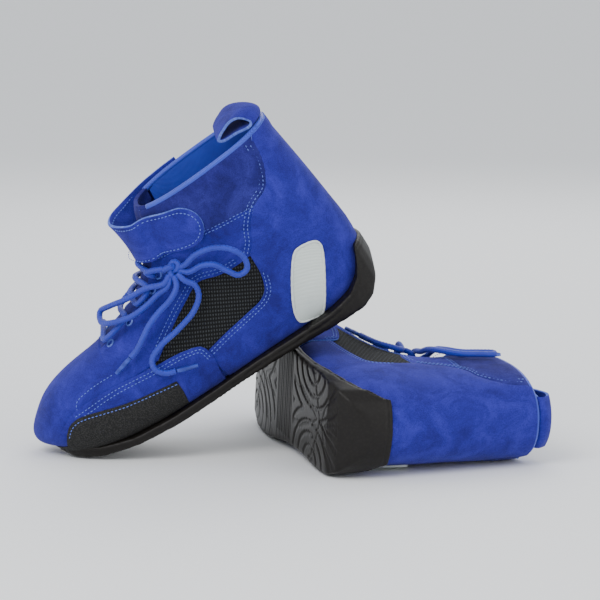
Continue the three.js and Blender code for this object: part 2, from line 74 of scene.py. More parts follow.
# %% [markdown]
# ## Where each boot lies
# Each boot has a frame of its own: x runs forward from the heel, y to the outer side and z up from
# the flat of the sole. The right boot is the mirror image of the left, so one set of shapes does
# for both, and only the matrix that places them differs.

# %% Placing the boots
POSES = {
    "left": ((53.56, -19.16, 123.70), (-0.85638, 0.0082, -0.51629), (-0.50389, -0.23161, 0.83214)),
    "right": ((27.16, -127.46, 37.50), (-0.27149, 0.95935, 0.0771), (0.96128, 0.27423, -0.0273)),
}


def boot_matrix(side):
    """From boot millimetres to metres in the shared frame."""
    at, forward, up = (Vector(v) for v in POSES[side])
    forward.normalize()
    outward = up.cross(forward).normalized()
    turned = Matrix((forward, outward, forward.cross(outward))).transposed().to_4x4()
    turned.translation = at
    if side == "right":
        turned = turned @ Matrix.Scale(-1, 4, (0, 1, 0))
    return Matrix.Scale(MM, 4) @ turned


PLACE = {side: boot_matrix(side) for side in SIDES}
print("left heel at", tuple(round(v, 3) for v in PLACE["left"] @ Vector((0, 0, 0))))

# %% [markdown]
# ## The last
# A shoe is built over a last. Ours is a row of sections that swing from upright at the toe to level
# at the collar. Each section is a rounded superellipse between a ridge point and a sole point.
# s runs from 0 at the toe to 1 at the collar, and a is the angle round the section: 0 on the ridge,
# positive to the outer side, half a turn at the sole. Past s = 1 the shaft runs straight up.

# %% The last as a formula
LAST = np.array([   # ridge x, z; sole or back x, z; outer and inner half width; roundness above, below
    [270, 44, 266, 30, 26, 30, 2.2, 2.6], [250, 57, 246, 21, 36.5, 36.5, 2.2, 3.0],
    [222, 64, 218, 14, 42, 40, 2.2, 3.4], [193, 69, 187, 11, 43.5, 40, 2.2, 3.8],
    [168, 77, 152, 9.6, 42, 38, 2.2, 4.0], [149, 85.5, 113, 9.4, 37, 33.5, 2.2, 4.0],
    [136.5, 95, 73, 9.4, 32, 30.5, 2.3, 3.8], [127, 105, 35, 9.4, 30.5, 29.5, 2.3, 3.4],
    [119.5, 115.5, 6, 11, 30.5, 29.5, 2.3, 3.0], [117, 126, -12, 24, 30, 29.5, 2.3, 2.7],
    [113, 134, -17, 52, 29.5, 29.5, 2.4, 2.5], [110, 141, -14, 84, 29.5, 29.5, 2.4, 2.4],
    [108, 147, -10, 116, 30, 30, 2.4, 2.4], [106, 153, -5, 150, 30.5, 30.5, 2.4, 2.4]])
TOE_END = 0.15                # share of the sections over which the toe closes
RISE = 260.0                  # millimetres of shaft for each unit of s past the collar section
ROWS = len(LAST) - 1


def sections(s):
    """The eight section numbers at s, smoothly between the rows of the table."""
    place = np.clip(s, 0, 1) * ROWS
    k = np.minimum(np.floor(place).astype(int), ROWS - 1)
    f = (place - k)[..., None]
    a, b, c, d = (LAST[np.clip(k + i, 0, ROWS)] for i in (-1, 0, 1, 2))
    value = 0.5 * (2 * b + (c - a) * f + (2 * a - 5 * b + 4 * c - d) * f ** 2
                   + (3 * b - a - 3 * c + d) * f ** 3)
    return np.moveaxis(value, -1, 0)


def last_point(s, a):
    """Points of the last at sections s and angles a, in boot millimetres."""
    s, a = np.broadcast_arrays(np.asarray(s, float), np.asarray(a, float))
    tx, tz, bx, bz, outer, inner, above, below = sections(s)
    close = np.clip(s / TOE_END, 0, 1)
    k = np.sqrt(1 - (1 - close) ** 2)
    mx, mz = (tx + bx) / 2, tz * 0.42 + bz * 0.58
    tx, bx = mx + (tx - mx) * k, mx + (bx - mx) * k
    tz, bz = mz + (tz - mz) * k, mz + (bz - mz) * k
    c, d = np.cos(a), np.sin(a)
    n = np.where(c >= 0, above, below)
    r = (np.abs(c) ** n + np.abs(d) ** n) ** (-1 / n)
    low = 0.22 * np.maximum(1 - s / 0.62, 0)
    u = c * r - low * (1 - (c * r) ** 2)
    half = np.where(d >= 0, outer, inner) * k
    z = (tz + bz) / 2 + (tz - bz) / 2 * u + np.maximum(s - 1, 0) * RISE
    return np.stack(((tx + bx) / 2 + (tx - bx) / 2 * u, half * d * r, z), -1)


def normal_at(s, a):
    h = 1e-3
    along = last_point(s + h, a) - last_point(np.maximum(s - h, 1e-4), a)
    round_it = last_point(s, a + h) - last_point(s, a - h)
    normal = np.cross(round_it, along)
    return normal / np.maximum(np.linalg.norm(normal, axis=-1, keepdims=True), 1e-9)


def skin(s, a, out):
    """Points that stand off the last by out millimetres."""
    s, a = np.asarray(s, float), np.asarray(a, float)
    return last_point(s, a) + normal_at(s, a) * np.asarray(out)[..., None]


print("last length", round(float(last_point(0.001, 0)[0] - last_point(0.76, math.pi)[0])), "mm")

# %% [markdown]
# Panel shapes are drawn from the side, in x and z, as on a paper pattern. To cut them out of the
# last we need s and a for each such point. Both come from bisection, halving an interval until the
# point is found, which is short to write and never goes astray.

# %% From the side view to the last
def bisect(rising, low, high, shape, rounds=44):
    """Where each value of the rising function passes zero."""
    low, high = np.full(shape, float(low)), np.full(shape, float(high))
    for _ in range(rounds):
        middle = (low + high) / 2
        up = rising(middle) > 0
        high, low = np.where(up, middle, high), np.where(up, low, middle)
    return low


def place_at(x, z, side=1):
    """s and a of the point that is seen at x, z from the side (1 outer, -1 inner)."""
    x, z = np.atleast_1d(np.asarray(x, float)), np.atleast_1d(np.asarray(z, float))

    def past(s):
        ridge, sole = last_point(s, 0.0), last_point(s, math.pi)
        return (ridge[..., 0] - sole[..., 0]) * (z - sole[..., 2]) \
            - (ridge[..., 2] - sole[..., 2]) * (x - sole[..., 0])
    s = bisect(lambda m: -past(m), 0.02, 1.14, x.shape)
    ridge, sole = last_point(s, 0.0), last_point(s, math.pi)
    lean = ridge - sole
    want = (x - sole[..., 0]) * lean[..., 0] + (z - sole[..., 2]) * lean[..., 2]

    def below(angle):
        p = last_point(s, angle)
        return want - ((p[..., 0] - sole[..., 0]) * lean[..., 0]
                       + (p[..., 2] - sole[..., 2]) * lean[..., 2])
    a = bisect(below, 0, math.pi, x.shape)
    return s, side * a


def over(x, z, side, out):
    """One point over the last, seen at x, z from the side, standing out by a distance."""
    s, a = place_at(x, z, side)
    return skin(s, a, np.array([out]))[0]


UNDER = 2.85                  # angle to which the upper is lasted under the foot


def at_angle(x, a):
    """s where the line of angle a passes x, for x between the waist and the toe."""
    return float(bisect(lambda s: x - last_point(s, a)[..., 0], 0.0, 0.62, (1,))[0])


def at_width(s, y, side=1):
    """Angle at which the section s is y wide, above its widest place."""
    s = np.atleast_1d(np.asarray(s, float))
    return side * bisect(lambda a: np.abs(last_point(s, side * a)[..., 1]) - y, 0, math.pi / 2, s.shape)


def collar_top(x):
    return 163.5 - 10.5 / 121 * (x + 10)


def at_top(a, lift=0.0):
    """s where the line of angle a meets the collar's top edge."""
    a = np.atleast_1d(np.asarray(a, float))

    def above(s):
        p = last_point(s, a)
        return p[..., 2] - collar_top(p[..., 0]) - lift
    return bisect(above, 0.7, 1.14, a.shape)


print("collar front and back at s", *(round(float(at_top(a)[0]), 3) for a in (0.5, math.pi)))

# %% [markdown]
# ## Smooth lines
# Laces, seams and outlines all run through a few chosen points. A centripetal Catmull-Rom curve
# passes through every one of them without loops or overshoot.

# %% Curves through points
def smooth(points, step=3.0, closed=False):
    """Points along a smooth curve through the given ones, about step apart."""
    p = np.array(points, float)
    if closed:
        p = np.vstack((p[-1], p, p[:2]))
    else:
        p = np.vstack((2 * p[0] - p[1], p, 2 * p[-1] - p[-2]))
    line = []
    for i in range(1, len(p) - 2):
        gaps = [max(np.linalg.norm(p[j + 1] - p[j]), 1e-6) ** 0.5 for j in (i - 1, i, i + 1)]
        t0, t1, t2, t3 = np.cumsum([0, *gaps])
        count = max(int(np.linalg.norm(p[i + 1] - p[i]) / step), 1)
        for t in np.linspace(t1, t2, count, endpoint=False):
            a1 = (t1 - t) / (t1 - t0) * p[i - 1] + (t - t0) / (t1 - t0) * p[i]
            a2 = (t2 - t) / (t2 - t1) * p[i] + (t - t1) / (t2 - t1) * p[i + 1]
            a3 = (t3 - t) / (t3 - t2) * p[i + 1] + (t - t2) / (t3 - t2) * p[i + 2]
            b1 = (t2 - t) / (t2 - t0) * a1 + (t - t0) / (t2 - t0) * a2
            b2 = (t3 - t) / (t3 - t1) * a2 + (t - t1) / (t3 - t1) * a3
            line.append((t2 - t) / (t2 - t1) * b1 + (t - t1) / (t2 - t1) * b2)
    if not closed:
        line.append(p[-2])
    return np.array(line)


def length_of(line):
    return float(np.linalg.norm(np.diff(line, axis=0), axis=1).sum())


def even(line, gap):
    """The same line with points at an even gap, and the direction at each."""
    steps = np.linalg.norm(np.diff(line, axis=0), axis=1)
    run = np.concatenate(([0], np.cumsum(steps)))
    at = np.arange(gap / 2, run[-1], gap)
    points = np.stack([np.interp(at, run, line[:, k]) for k in range(3)], -1)
    ahead = np.stack([np.interp(at + gap / 4, run, line[:, k]) for k in range(3)], -1)
    behind = np.stack([np.interp(at - gap / 4, run, line[:, k]) for k in range(3)], -1)
    way = ahead - behind
    return points, way / np.maximum(np.linalg.norm(way, axis=1, keepdims=True), 1e-9)


print("smooth corner:", len(smooth([(0, 0), (10, 0), (10, 10)])), "points")

# %% [markdown]
# ## Thickness build-up
# From the foot outwards: satin lining, stiffener, then the suede and mesh panels, then what is sewn
# on top of them. Real panels overlap, so each one lies a little higher than the one it is sewn over.

# %% Distances from the last, in millimetres
LINING_OUT, TONGUE_OUT, MESH_OUT, COLLAR_OUT = 0.9, 3.0, 5.05, 4.9
VAMP_OUT, QUARTER_OUT, REAR_OUT = 4.9, 5.4, 6.0
SADDLE_OUT, EMBLEM_OUT, PAD_OUT = 6.9, 7.2, 6.5
LACE_D, LACE_GAP, EYESTAY_OUT = 4.6, 3.7, 5.3   # the lace, and its room over the suede below it
LACE_OUT = EYESTAY_OUT + LACE_GAP + LACE_D / 2
print("lace centre rides", round(LACE_OUT, 1), "mm off the last")

# %% [markdown]
# ## Materials
# Every finish is built from nodes. The pieces carry an attribute named boot, which is their place in
# the boot's own frame, so grain and ribs sit the same way on both boots and never slide.

# %% Node helpers
def new_material(name, color, roughness, **sockets):
    material = bpy.data.materials.new(name)
    material.use_nodes = True
    shader = material.node_tree.nodes["Principled BSDF"]
    shader.inputs["Base Color"].default_value = (*color, 1)
    shader.inputs["Roughness"].default_value = roughness
    for socket, value in sockets.items():
        shader.inputs[socket.replace("_", " ")].default_value = value
    return material


def add_node(material, kind, links=(), **values):
    """A node with values set and inputs linked, as (input, other node, output)."""
    node = material.node_tree.nodes.new(kind)
    for key, value in values.items():
        if key in node.inputs:
            node.inputs[key].default_value = value
        else:
            setattr(node, key, value)
    for name, other, output in links:
        material.node_tree.links.new(other.outputs[output], node.inputs[name])
    return node


def boot_coordinates(material, attribute="boot"):
    """The piece's own place in the boot, or object coordinates where it has no such attribute."""
    if attribute:
        return add_node(material, "ShaderNodeAttribute", attribute_name=attribute)
    plain = add_node(material, "ShaderNodeTexCoord")
    return add_node(material, "ShaderNodeMapping", [("Vector", plain, "Object")])


def ramp(material, source, output, stops):
    node = add_node(material, "ShaderNodeValToRGB", [("Fac", source, output)])
    elements = node.color_ramp.elements
    while len(elements) < len(stops):
        elements.new(0.5)
    for element, (position, color) in zip(elements, stops):
        element.position = position
        element.color = (*color, 1)
    return node


def to_shader(material, socket, node, output):
    shader = material.node_tree.nodes["Principled BSDF"]
    material.node_tree.links.new(node.outputs[output], shader.inputs[socket])


def bump(material, height, output, distance, strength=1.0, onto=None):
    links = [("Height", height, output)] + ([("Normal", onto, "Normal")] if onto else [])
    node = add_node(material, "ShaderNodeBump", links, Distance=distance, Strength=strength)
    to_shader(material, "Normal", node, "Normal")
    return node


print("helpers ready")

# %% [markdown]
# Suede is split leather with a brushed nap. Light catches the nap where it lies the other way, so
# the colour is mottled in soft clouds, with a very fine fibre bump and a velvet sheen on top.

# %% Suede
def suede(name, dark, mid, light, nap=0.00035, cloud=38.0):
    material = new_material(name, mid, 0.93, Sheen_Weight=0.16, Sheen_Roughness=0.45,
                            Sheen_Tint=(0.45, 0.45, 1, 1), Specular_IOR_Level=0.12)
    place = boot_coordinates(material)
    clouds = add_node(material, "ShaderNodeTexNoise", [("Vector", place, "Vector")],
                      Scale=cloud, Detail=6.0, Roughness=0.68, Distortion=0.6)
    color = ramp(material, clouds, "Fac", [(0.30, dark), (0.50, mid), (0.72, light)])
    fibre = add_node(material, "ShaderNodeTexNoise", [("Vector", place, "Vector")],
                     Scale=1500.0, Detail=3.0, Roughness=0.7)
    flecks = ramp(material, fibre, "Fac", [(0.36, (0.66,) * 3), (0.62, (1.16,) * 3)])
    mixed = add_node(material, "ShaderNodeMix", data_type="RGBA", blend_type="MULTIPLY")
    mixed.inputs["Factor"].default_value = 1.0
    material.node_tree.links.new(color.outputs["Color"], mixed.inputs["A"])
    material.node_tree.links.new(flecks.outputs["Color"], mixed.inputs["B"])
    to_shader(material, "Base Color", mixed, "Result")
    creases = add_node(material, "ShaderNodeTexNoise", [("Vector", place, "Vector")],
                       Scale=95.0, Detail=3.0, Roughness=0.5)
    soft = bump(material, creases, "Fac", 0.0012, 0.35)
    bump(material, fibre, "Fac", nap, 0.8, soft)
    return material


SUEDE = suede("royal_suede", (0.015, 0.014, 0.16), (0.023, 0.023, 0.27), (0.042, 0.042, 0.40))
SOFT_SUEDE = suede("collar_suede", (0.012, 0.011, 0.095), (0.019, 0.018, 0.16), (0.034, 0.034, 0.25),
                   cloud=52.0)
EDGE = suede("raw_edge", (0.06, 0.10, 0.46), (0.11, 0.17, 0.60), (0.20, 0.28, 0.74), cloud=200.0)
print("suede:", SUEDE.name, SOFT_SUEDE.name, EDGE.name)

# %% [markdown]
# The mesh is a black knit with raised ribs that run up and back across the side, crossed by a finer
# thread. Two wave textures at an angle give the ribs; the ribs are also in the bump.

# %% Mesh, abrasion cloth, rubber
def ribbed(name, color, high, turn, scale, cross):
    material = new_material(name, color, 0.82, Specular_IOR_Level=0.25)
    place = boot_coordinates(material)
    turned = add_node(material, "ShaderNodeMapping", [("Vector", place, "Vector")],
                      Rotation=(0, math.radians(turn), 0))
    ribs = add_node(material, "ShaderNodeTexWave", [("Vector", turned, "Vector")],
                    Scale=scale, Distortion=0.5, bands_direction="Z")
    ribs.inputs["Detail Scale"].default_value = 60
    threads = add_node(material, "ShaderNodeTexWave", [("Vector", turned, "Vector")],
                       Scale=cross, Distortion=0.8, bands_direction="X")
    both = add_node(material, "ShaderNodeMath", [], operation="MULTIPLY")
    material.node_tree.links.new(ribs.outputs["Fac"], both.inputs[0])
    material.node_tree.links.new(threads.outputs["Fac"], both.inputs[1])
    color_node = ramp(material, both, "Value", [(0.08, color), (0.75, high)])
    to_shader(material, "Base Color", color_node, "Color")
    bump(material, both, "Value", 0.0011, 1.0)
    return material


def pebbled(name, color, high, roughness, scale, depth, attribute="boot"):
    material = new_material(name, color, roughness)
    place = boot_coordinates(material, attribute)
    grains = add_node(material, "ShaderNodeTexVoronoi", [("Vector", place, "Vector")], Scale=scale)
    tone = ramp(material, grains, "Distance", [(0.1, high), (0.6, color)])
    to_shader(material, "Base Color", tone, "Color")
    haze = add_node(material, "ShaderNodeTexNoise", [("Vector", place, "Vector")],
                    Scale=scale * 1.7, Detail=4.0)
    soft = bump(material, haze, "Fac", depth, 0.7)
    bump(material, grains, "Distance", -depth, 0.8, soft)
    return material


MESH = ribbed("rib_mesh", (0.0025, 0.0028, 0.003), (0.050, 0.054, 0.060), 28, 105.0, 150.0)
ABRASION = pebbled("abrasion_cloth", (0.006, 0.006, 0.006), (0.034, 0.033, 0.032), 0.95, 900.0, 0.0006)
RUBBER = pebbled("sole_rubber", (0.0075, 0.0062, 0.0055), (0.011, 0.0095, 0.0082), 0.40, 420.0, 0.00006)
RUBBER.node_tree.nodes["Principled BSDF"].inputs["Specular IOR Level"].default_value = 0.22
print("mesh, abrasion cloth and rubber ready")

# %% [markdown]
# The satin lining has a fine knit and shines softly. Thread, lace and patch have their own simple
# weaves, and the hidden boards are pressed fibre.

# %% Satin, thread, lace, patch and board
def woven(name, color, high, roughness, scale, depth=0.0003, sheen=0.0, attribute="boot"):
    material = new_material(name, color, roughness, Sheen_Weight=sheen)
    place = boot_coordinates(material, attribute)
    turned = add_node(material, "ShaderNodeMapping", [("Vector", place, "Vector")],
                      Rotation=(0.6, math.radians(38), 0.5))
    rows = add_node(material, "ShaderNodeTexWave", [("Vector", turned, "Vector")],
                    Scale=scale, Distortion=1.2, bands_direction="Z")
    soft = add_node(material, "ShaderNodeTexNoise", [("Vector", place, "Vector")],
                    Scale=scale * 0.12, Detail=4.0)
    both = add_node(material, "ShaderNodeMath", [], operation="ADD")
    material.node_tree.links.new(rows.outputs["Fac"], both.inputs[0])
    material.node_tree.links.new(soft.outputs["Fac"], both.inputs[1])
    half = add_node(material, "ShaderNodeMath", [], operation="MULTIPLY")
    half.inputs[1].default_value = 0.5
    material.node_tree.links.new(both.outputs["Value"], half.inputs[0])
    tone = ramp(material, half, "Value", [(0.2, color), (0.8, high)])
    to_shader(material, "Base Color", tone, "Color")
    bump(material, rows, "Fac", depth, 0.6)
    return material


SATIN = woven("satin_lining", (0.012, 0.030, 0.34), (0.026, 0.072, 0.62), 0.42, 420.0, 0.0002, 0.15)
THREAD = woven("seam_thread", (0.07, 0.12, 0.55), (0.17, 0.26, 0.78), 0.6, 900.0)
LACE = woven("braided_lace", (0.004, 0.014, 0.26), (0.012, 0.040, 0.56), 0.5, 700.0, 0.0002, 0.1)
PATCH = woven("white_patch", (0.55, 0.62, 0.58), (0.80, 0.86, 0.82), 0.72, 330.0, 0.0004)
BORDER = woven("patch_border", (0.60, 0.66, 0.63), (0.88, 0.92, 0.90), 0.6, 620.0, 0.0004)
PILE = woven("hook_pile", (0.006, 0.020, 0.14), (0.020, 0.055, 0.32), 0.95, 800.0, 0.0006)
FOOTBED = woven("footbed_cloth", (0.010, 0.016, 0.05), (0.030, 0.045, 0.12), 0.85, 500.0)
TIP = woven("lace_tip", (0.010, 0.025, 0.24), (0.030, 0.06, 0.42), 0.28, 60.0, 0.00005)
BOARD = pebbled("pressed_board", (0.20, 0.15, 0.09), (0.34, 0.27, 0.18), 0.9, 300.0, 0.0003, None)
print(len(bpy.data.materials), "materials")

# %% [markdown]
# ## From a cut shape to a piece
# A pattern piece starts as one flat face in s and a. Cutting it along a grid of planes gives it
# enough points to bend, and then each point moves to its place over the last. A Solidify modifier
# gives the leather its thickness and paints the raw cut edge in its own colour.

# %% Cutting and laying
def cut_grid(outline, step_x, step_y):
    """A flat face with the given outline, cut into cells by a grid of planes."""
    bm = bmesh.new()
    bm.faces.new([bm.verts.new((x, y, 0)) for x, y in outline])
    bmesh.ops.remove_doubles(bm, verts=bm.verts, dist=1e-7)
    for axis, step in ((0, step_x), (1, step_y)):
        values = [v.co[axis] for v in bm.verts]
        normal = Vector((axis == 0, axis == 1, 0))
        for k in range(math.floor(min(values) / step) + 1, math.ceil(max(values) / step)):
            bmesh.ops.bisect_plane(bm, geom=bm.verts[:] + bm.edges[:] + bm.faces[:], dist=1e-7,
                                   plane_co=normal * (k * step), plane_no=normal)
    return bm


def edge_distance(bm, points):
    """Distance of each point from the piece's own edge."""
    rim = [e for e in bm.edges if e.is_boundary]
    tree = kdtree.KDTree(max(len(rim) * 3, 1))
    for i, edge in enumerate(rim):
        a, b = (Vector(points[v.index]) for v in edge.verts)
        for j, f in enumerate((0, 1 / 3, 2 / 3)):
            tree.insert(a.lerp(b, f), 3 * i + j)
    tree.balance()
    return np.array([tree.find(Vector(p))[2] for p in points])


def lay_over(outline, out, puff=0.0, reach=8.0, step_t=0.0125, step_a=0.085, inside=False):
    """A cut shape laid over the last. puff raises its middle, with round shoulders reach wide."""
    bm = cut_grid(outline, step_t, step_a)
    bm.verts.index_update()
    flat = np.array([v.co for v in bm.verts])
    s, a = np.maximum(flat[:, 0] ** 2, 1e-4), flat[:, 1]
    points = skin(s, a, np.full(len(s), float(out)))
    near = 1 - np.clip(edge_distance(bm, points) / reach, 0, 1)
    points = skin(s, a, out + puff * np.sqrt(1 - near ** 2))
    for vert, point in zip(bm.verts, points):
        vert.co = point
    bm.normal_update()
    facing = sum(v.normal.dot(Vector(n)) for v, n in zip(bm.verts, normal_at(s, a)))
    if (facing < 0) != inside:
        bmesh.ops.reverse_faces(bm, faces=bm.faces)
    bmesh.ops.remove_doubles(bm, verts=bm.verts, dist=0.02)
    return bm


MADE = {}                     # every finished piece by name


def add_piece(name, bm, materials, body="boot", node=None, thick=0.0, bevel=0.0):
    """Both boots' copies of a shape: placed, given its materials, riding on its body."""
    for side in SIDES:
        mesh = bpy.data.meshes.new(f"{side}_{name}")
        bm.to_mesh(mesh)
        finish_mesh(mesh, side)
        for material in materials:
            mesh.materials.append(material)
        piece = bpy.data.objects.new(f"{side}_{name}", mesh)
        bpy.context.scene.collection.objects.link(piece)
        if thick:
            solid = piece.modifiers.new("thickness", "SOLIDIFY")
            solid.thickness, solid.offset = thick * MM, -1
            solid.material_offset_rim = len(materials) - 1
        if bevel:
            edge = piece.modifiers.new("edge", "BEVEL")
            edge.width, edge.segments = bevel * MM, 2
            edge.limit_method, edge.angle_limit = "ANGLE", math.radians(48)
        if body:
            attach(piece, f"{side}_{body}")
        if node:
            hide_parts(*(f"{side}_{n}" for n in node.split()))
        MADE[piece.name] = piece
    bm.free()


def finish_mesh(mesh, side):
    """Keeps each point's boot-frame place for the materials, then moves the mesh into place."""
    count = len(mesh.vertices)
    place = np.empty(count * 3)
    mesh.vertices.foreach_get("co", place)
    mesh.attributes.new("boot", "FLOAT_VECTOR", "POINT").data.foreach_set("vector", place * MM)
    mesh.transform(PLACE[side])
    if side == "right":
        mesh.flip_normals()
    mesh.polygons.foreach_set("use_smooth", np.ones(len(mesh.polygons), bool))
    mesh.update()


print("tools for pieces ready")

# %% [markdown]
# ## Laces
# Each boot has one round braided lace, about 4.6 mm thick: five bars across the tongue, a knot, two
# loops and two ends with plastic tips. A braid is carved into a tube by pushing every point of it
# in or out with two waves that wind round it in opposite ways.

# %% Lace routes, in boot millimetres
def on_side(side, rows):
    return [tuple(over(x, z, side, out)) for x, z, out in rows]


BOWS = {
    "left": {
        "up": [(127, 27, 111.5), (115, 33.5, 110)], "knot": (108, 33.5, 105.5),
        "loop_outer": [(98, 36.5, 104.5), (87, 39.5, 108), (73, 42, 106.5), (62, 44, 99.5), (56.5, 45, 89),
                       (59, 45, 79.5), (67, 43.5, 78), (73, 43, 86), (78.5, 42, 94.5), (87, 40.5, 98.5),
                       (98, 38, 98.5)],
        "loop_inner": [(118.5, 37, 100.5), (133, 29.5, 102), (151, 20, 99.5), (167, 7, 97.5), (177, -3, 94.5),
                       (179, 10, 91), (169, 26, 91), (153, 32, 89.5), (139, 32, 91), (128, 34.5, 94.5),
                       (117.5, 37, 97)],
        "end_inner": [(111.5, 40, 94.5), (121, 40.5, 88), (134, 40.5, 84), (145, 41.5, 79.5), (154, 43, 74),
                      (163, 44.5, 68.5), (170, 44.5, 66)],
        "end_outer": [(104, 40, 95), (99.5, 40.5, 88), (101, 40.5, 79.5), (111, 42, 71), (128, 45, 66),
                      (146, 47, 62.5), (156.5, 49.5, 57.5), (158.5, 52, 50.5), (153.5, 53, 44), (145.5, 52, 40.5)],
    },
    "right": {
        "up": [(138, 14, 109.5)], "knot": (140, -2, 108),
        "loop_outer": [(143.5, 9.5, 109), (150, 18.5, 105.5), (162, 31, 101), (173, 40, 95), (181, 42, 97),
                       (178, 38, 105), (166, 30, 109.5), (152, 18, 110.8), (143, 8, 112.8)],
        "loop_inner": [(141, -11.5, 111.5)] + on_side(-1, [
            (112, 115, 12), (94, 116, 12), (76, 118, 12), (60, 126, 12), (56.5, 138, 12), (53, 148, 12),
            (47.5, 147, 12), (49.5, 135, 12), (54.5, 121, 12), (72, 109.5, 12), (90, 108, 11.5),
            (104, 107.5, 11)]) + [(133.5, -24, 110.5), (139, -12, 106.5)],
        "end_inner": [(148.5, -11, 101.5), (140, -23, 99), (127, -33, 96)] + on_side(-1, [
            (110, 91, 9.5), (106, 81, 9.5), (112, 73, 9.5), (122, 67, 9.5), (132, 62, 9.5)]),
        "end_outer": [(150, 7, 101), (157, 16, 98), (161, 24, 91), (168, 35, 86), (178, 43, 82),
                      (192, 46, 77), (206, 47.5, 72)],
    },
}
EYELET_ROWS = [0.27 + 0.072 * row for row in range(5)]   # s of each row
EYELET_Y = 17.0
AGLET_L, AGLET_D, AGLET_GAP = 17.0, 3.6, 0.15


def eyelet(s, side, out):
    return tuple(skin(s, float(at_width(s, EYELET_Y, side)[0]), np.array([out]))[0])


def lacing_route(bow):
    points = []
    for row, s in enumerate(EYELET_ROWS):
        first = 1 if row % 2 else -1
        middle = skin(s, 0.0, np.array([TONGUE_OUT + LACE_GAP + LACE_D / 2]))[0]
        points += [eyelet(s, first, LACE_OUT), tuple(middle), eyelet(s, -first, LACE_OUT)]
    return points + bow["up"] + [bow["knot"]]


print("lacing route:", len(lacing_route(BOWS["left"])), "points")

# %% [markdown]
# A tube is one circle of points moved along a line and joined up ring to ring. The rings turn as
# little as possible from one to the next, so the braid runs straight along the lace.

# %% Braided tubes
def rings_along(line, gap):
    points, ways = even(line, gap)
    side = Vector(ways[0]).orthogonal().normalized()
    frames = []
    for point, way in zip(points, ways):
        way = Vector(way)
        side = (side - way * side.dot(way)).normalized()
        frames.append((Vector(point), side.copy(), way.cross(side)))
    return frames


def tube(line, radius, gap=0.8, around=18, braid=0.0, pitch=5.4, shape=None):
    """A closed tube along a line. radius may be shaped along it by a function of 0 to 1."""
    bm = bmesh.new()
    frames = rings_along(line, gap)
    rings = []
    for i, (middle, side, up) in enumerate(frames):
        along = i / max(len(frames) - 1, 1)
        ring = []
        for k in range(around):
            angle = 2 * math.pi * k / around
            r = radius * (shape(along) if shape else 1)
            if braid:
                run = i * gap / pitch * 2 * math.pi
                r += braid * (math.cos(4 * angle + run) * math.cos(4 * angle - run))
            ring.append(bm.verts.new(middle + (side * math.cos(angle) + up * math.sin(angle)) * r))
        rings.append(ring)
    for ring, after in zip(rings, rings[1:]):
        for k in range(around):
            m = (k + 1) % around
            bm.faces.new((ring[k], ring[m], after[m], after[k]))
    for ring in (rings[0][::-1], rings[-1]):
        bm.faces.new(ring)
    bm.normal_update()
    return bm


def add_one(name, side, bm, material, body="boot", node=None):
    """A piece that only one boot has in this shape, such as its own bow."""
    mesh = bpy.data.meshes.new(f"{side}_{name}")
    bm.to_mesh(mesh)
    bm.free()
    finish_mesh(mesh, side)
    mesh.materials.append(material)
    piece = bpy.data.objects.new(f"{side}_{name}", mesh)
    bpy.context.scene.collection.objects.link(piece)
    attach(piece, f"{side}_{body}")
    if node:
        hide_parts(*(f"{side}_{n}" for n in node.split()))
    MADE[piece.name] = piece
    return piece


def make_cord(name, side, line, node):
    """A length of lace, with its real braid."""
    piece = add_one(name, side, tube(line, LACE_D / 2 - 0.1, around=20, braid=0.28), LACE, node=node)


def tip_shape(along):
    return 0.86 + 0.14 * math.sin(math.pi * min(along * 1.6, 1)) if along < 0.93 else 0.8


def into_knot(points, knot, both=False):
    """The same route with its end led into the knot, as the lace comes out of it."""
    lead = [tuple(np.array(p) + (np.array(knot) - p) * 0.62) for p in (points[0], points[-1])]
    return [lead[0], *points] + ([lead[1]] if both else [])


for side, bow in BOWS.items():
    knot = bow["knot"]
    turns = np.linspace(0, 2 * math.pi, 60)
    wound = np.stack((np.sin(turns) + 2 * np.sin(2 * turns), -np.sin(3 * turns) * 1.4,
                      np.cos(turns) - 2 * np.cos(2 * turns)), -1) / 3
    wound = wound * (6.6, 5.0, 5.6) + np.array(knot)
    knot_piece = add_one("bow_knot", side, tube(wound, 2.15, around=16, braid=0.25), LACE)
    make_cord("lacing_lace", side, smooth(lacing_route(bow), 1.5), "lacing")
    for loop in ("outer", "inner"):
        line = smooth(into_knot(bow[f"loop_{loop}"], knot, True), 1.5)
        make_cord(f"bow_loop_{loop}", side, line, f"lace_loop_{loop}")
    for end in ("inner", "outer"):
        line = smooth(into_knot(bow[f"end_{end}"], knot), 1.5)
        way = (line[-1] - line[-4]) / np.linalg.norm(line[-1] - line[-4])
        start = line[-1] + way * AGLET_GAP
        hard = np.array([start + way * d for d in np.linspace(0, AGLET_L, 24)])
        tip = add_one(f"lace_tip_{end}", side, tube(hard, AGLET_D / 2, 0.5, 16, shape=tip_shape),
                      TIP, node=f"aglet_{end}")
        make_cord(f"bow_end_{end}", side, line, f"lace_end_{end}")

# %% [markdown]
# ## Pattern lines
# The outlines below are the paper pattern: x, z points seen from the side. An outline that turns
# under the foot ends on the line where the leather is lasted under, and one that goes round the
# heel or over the toe carries on on the other side.

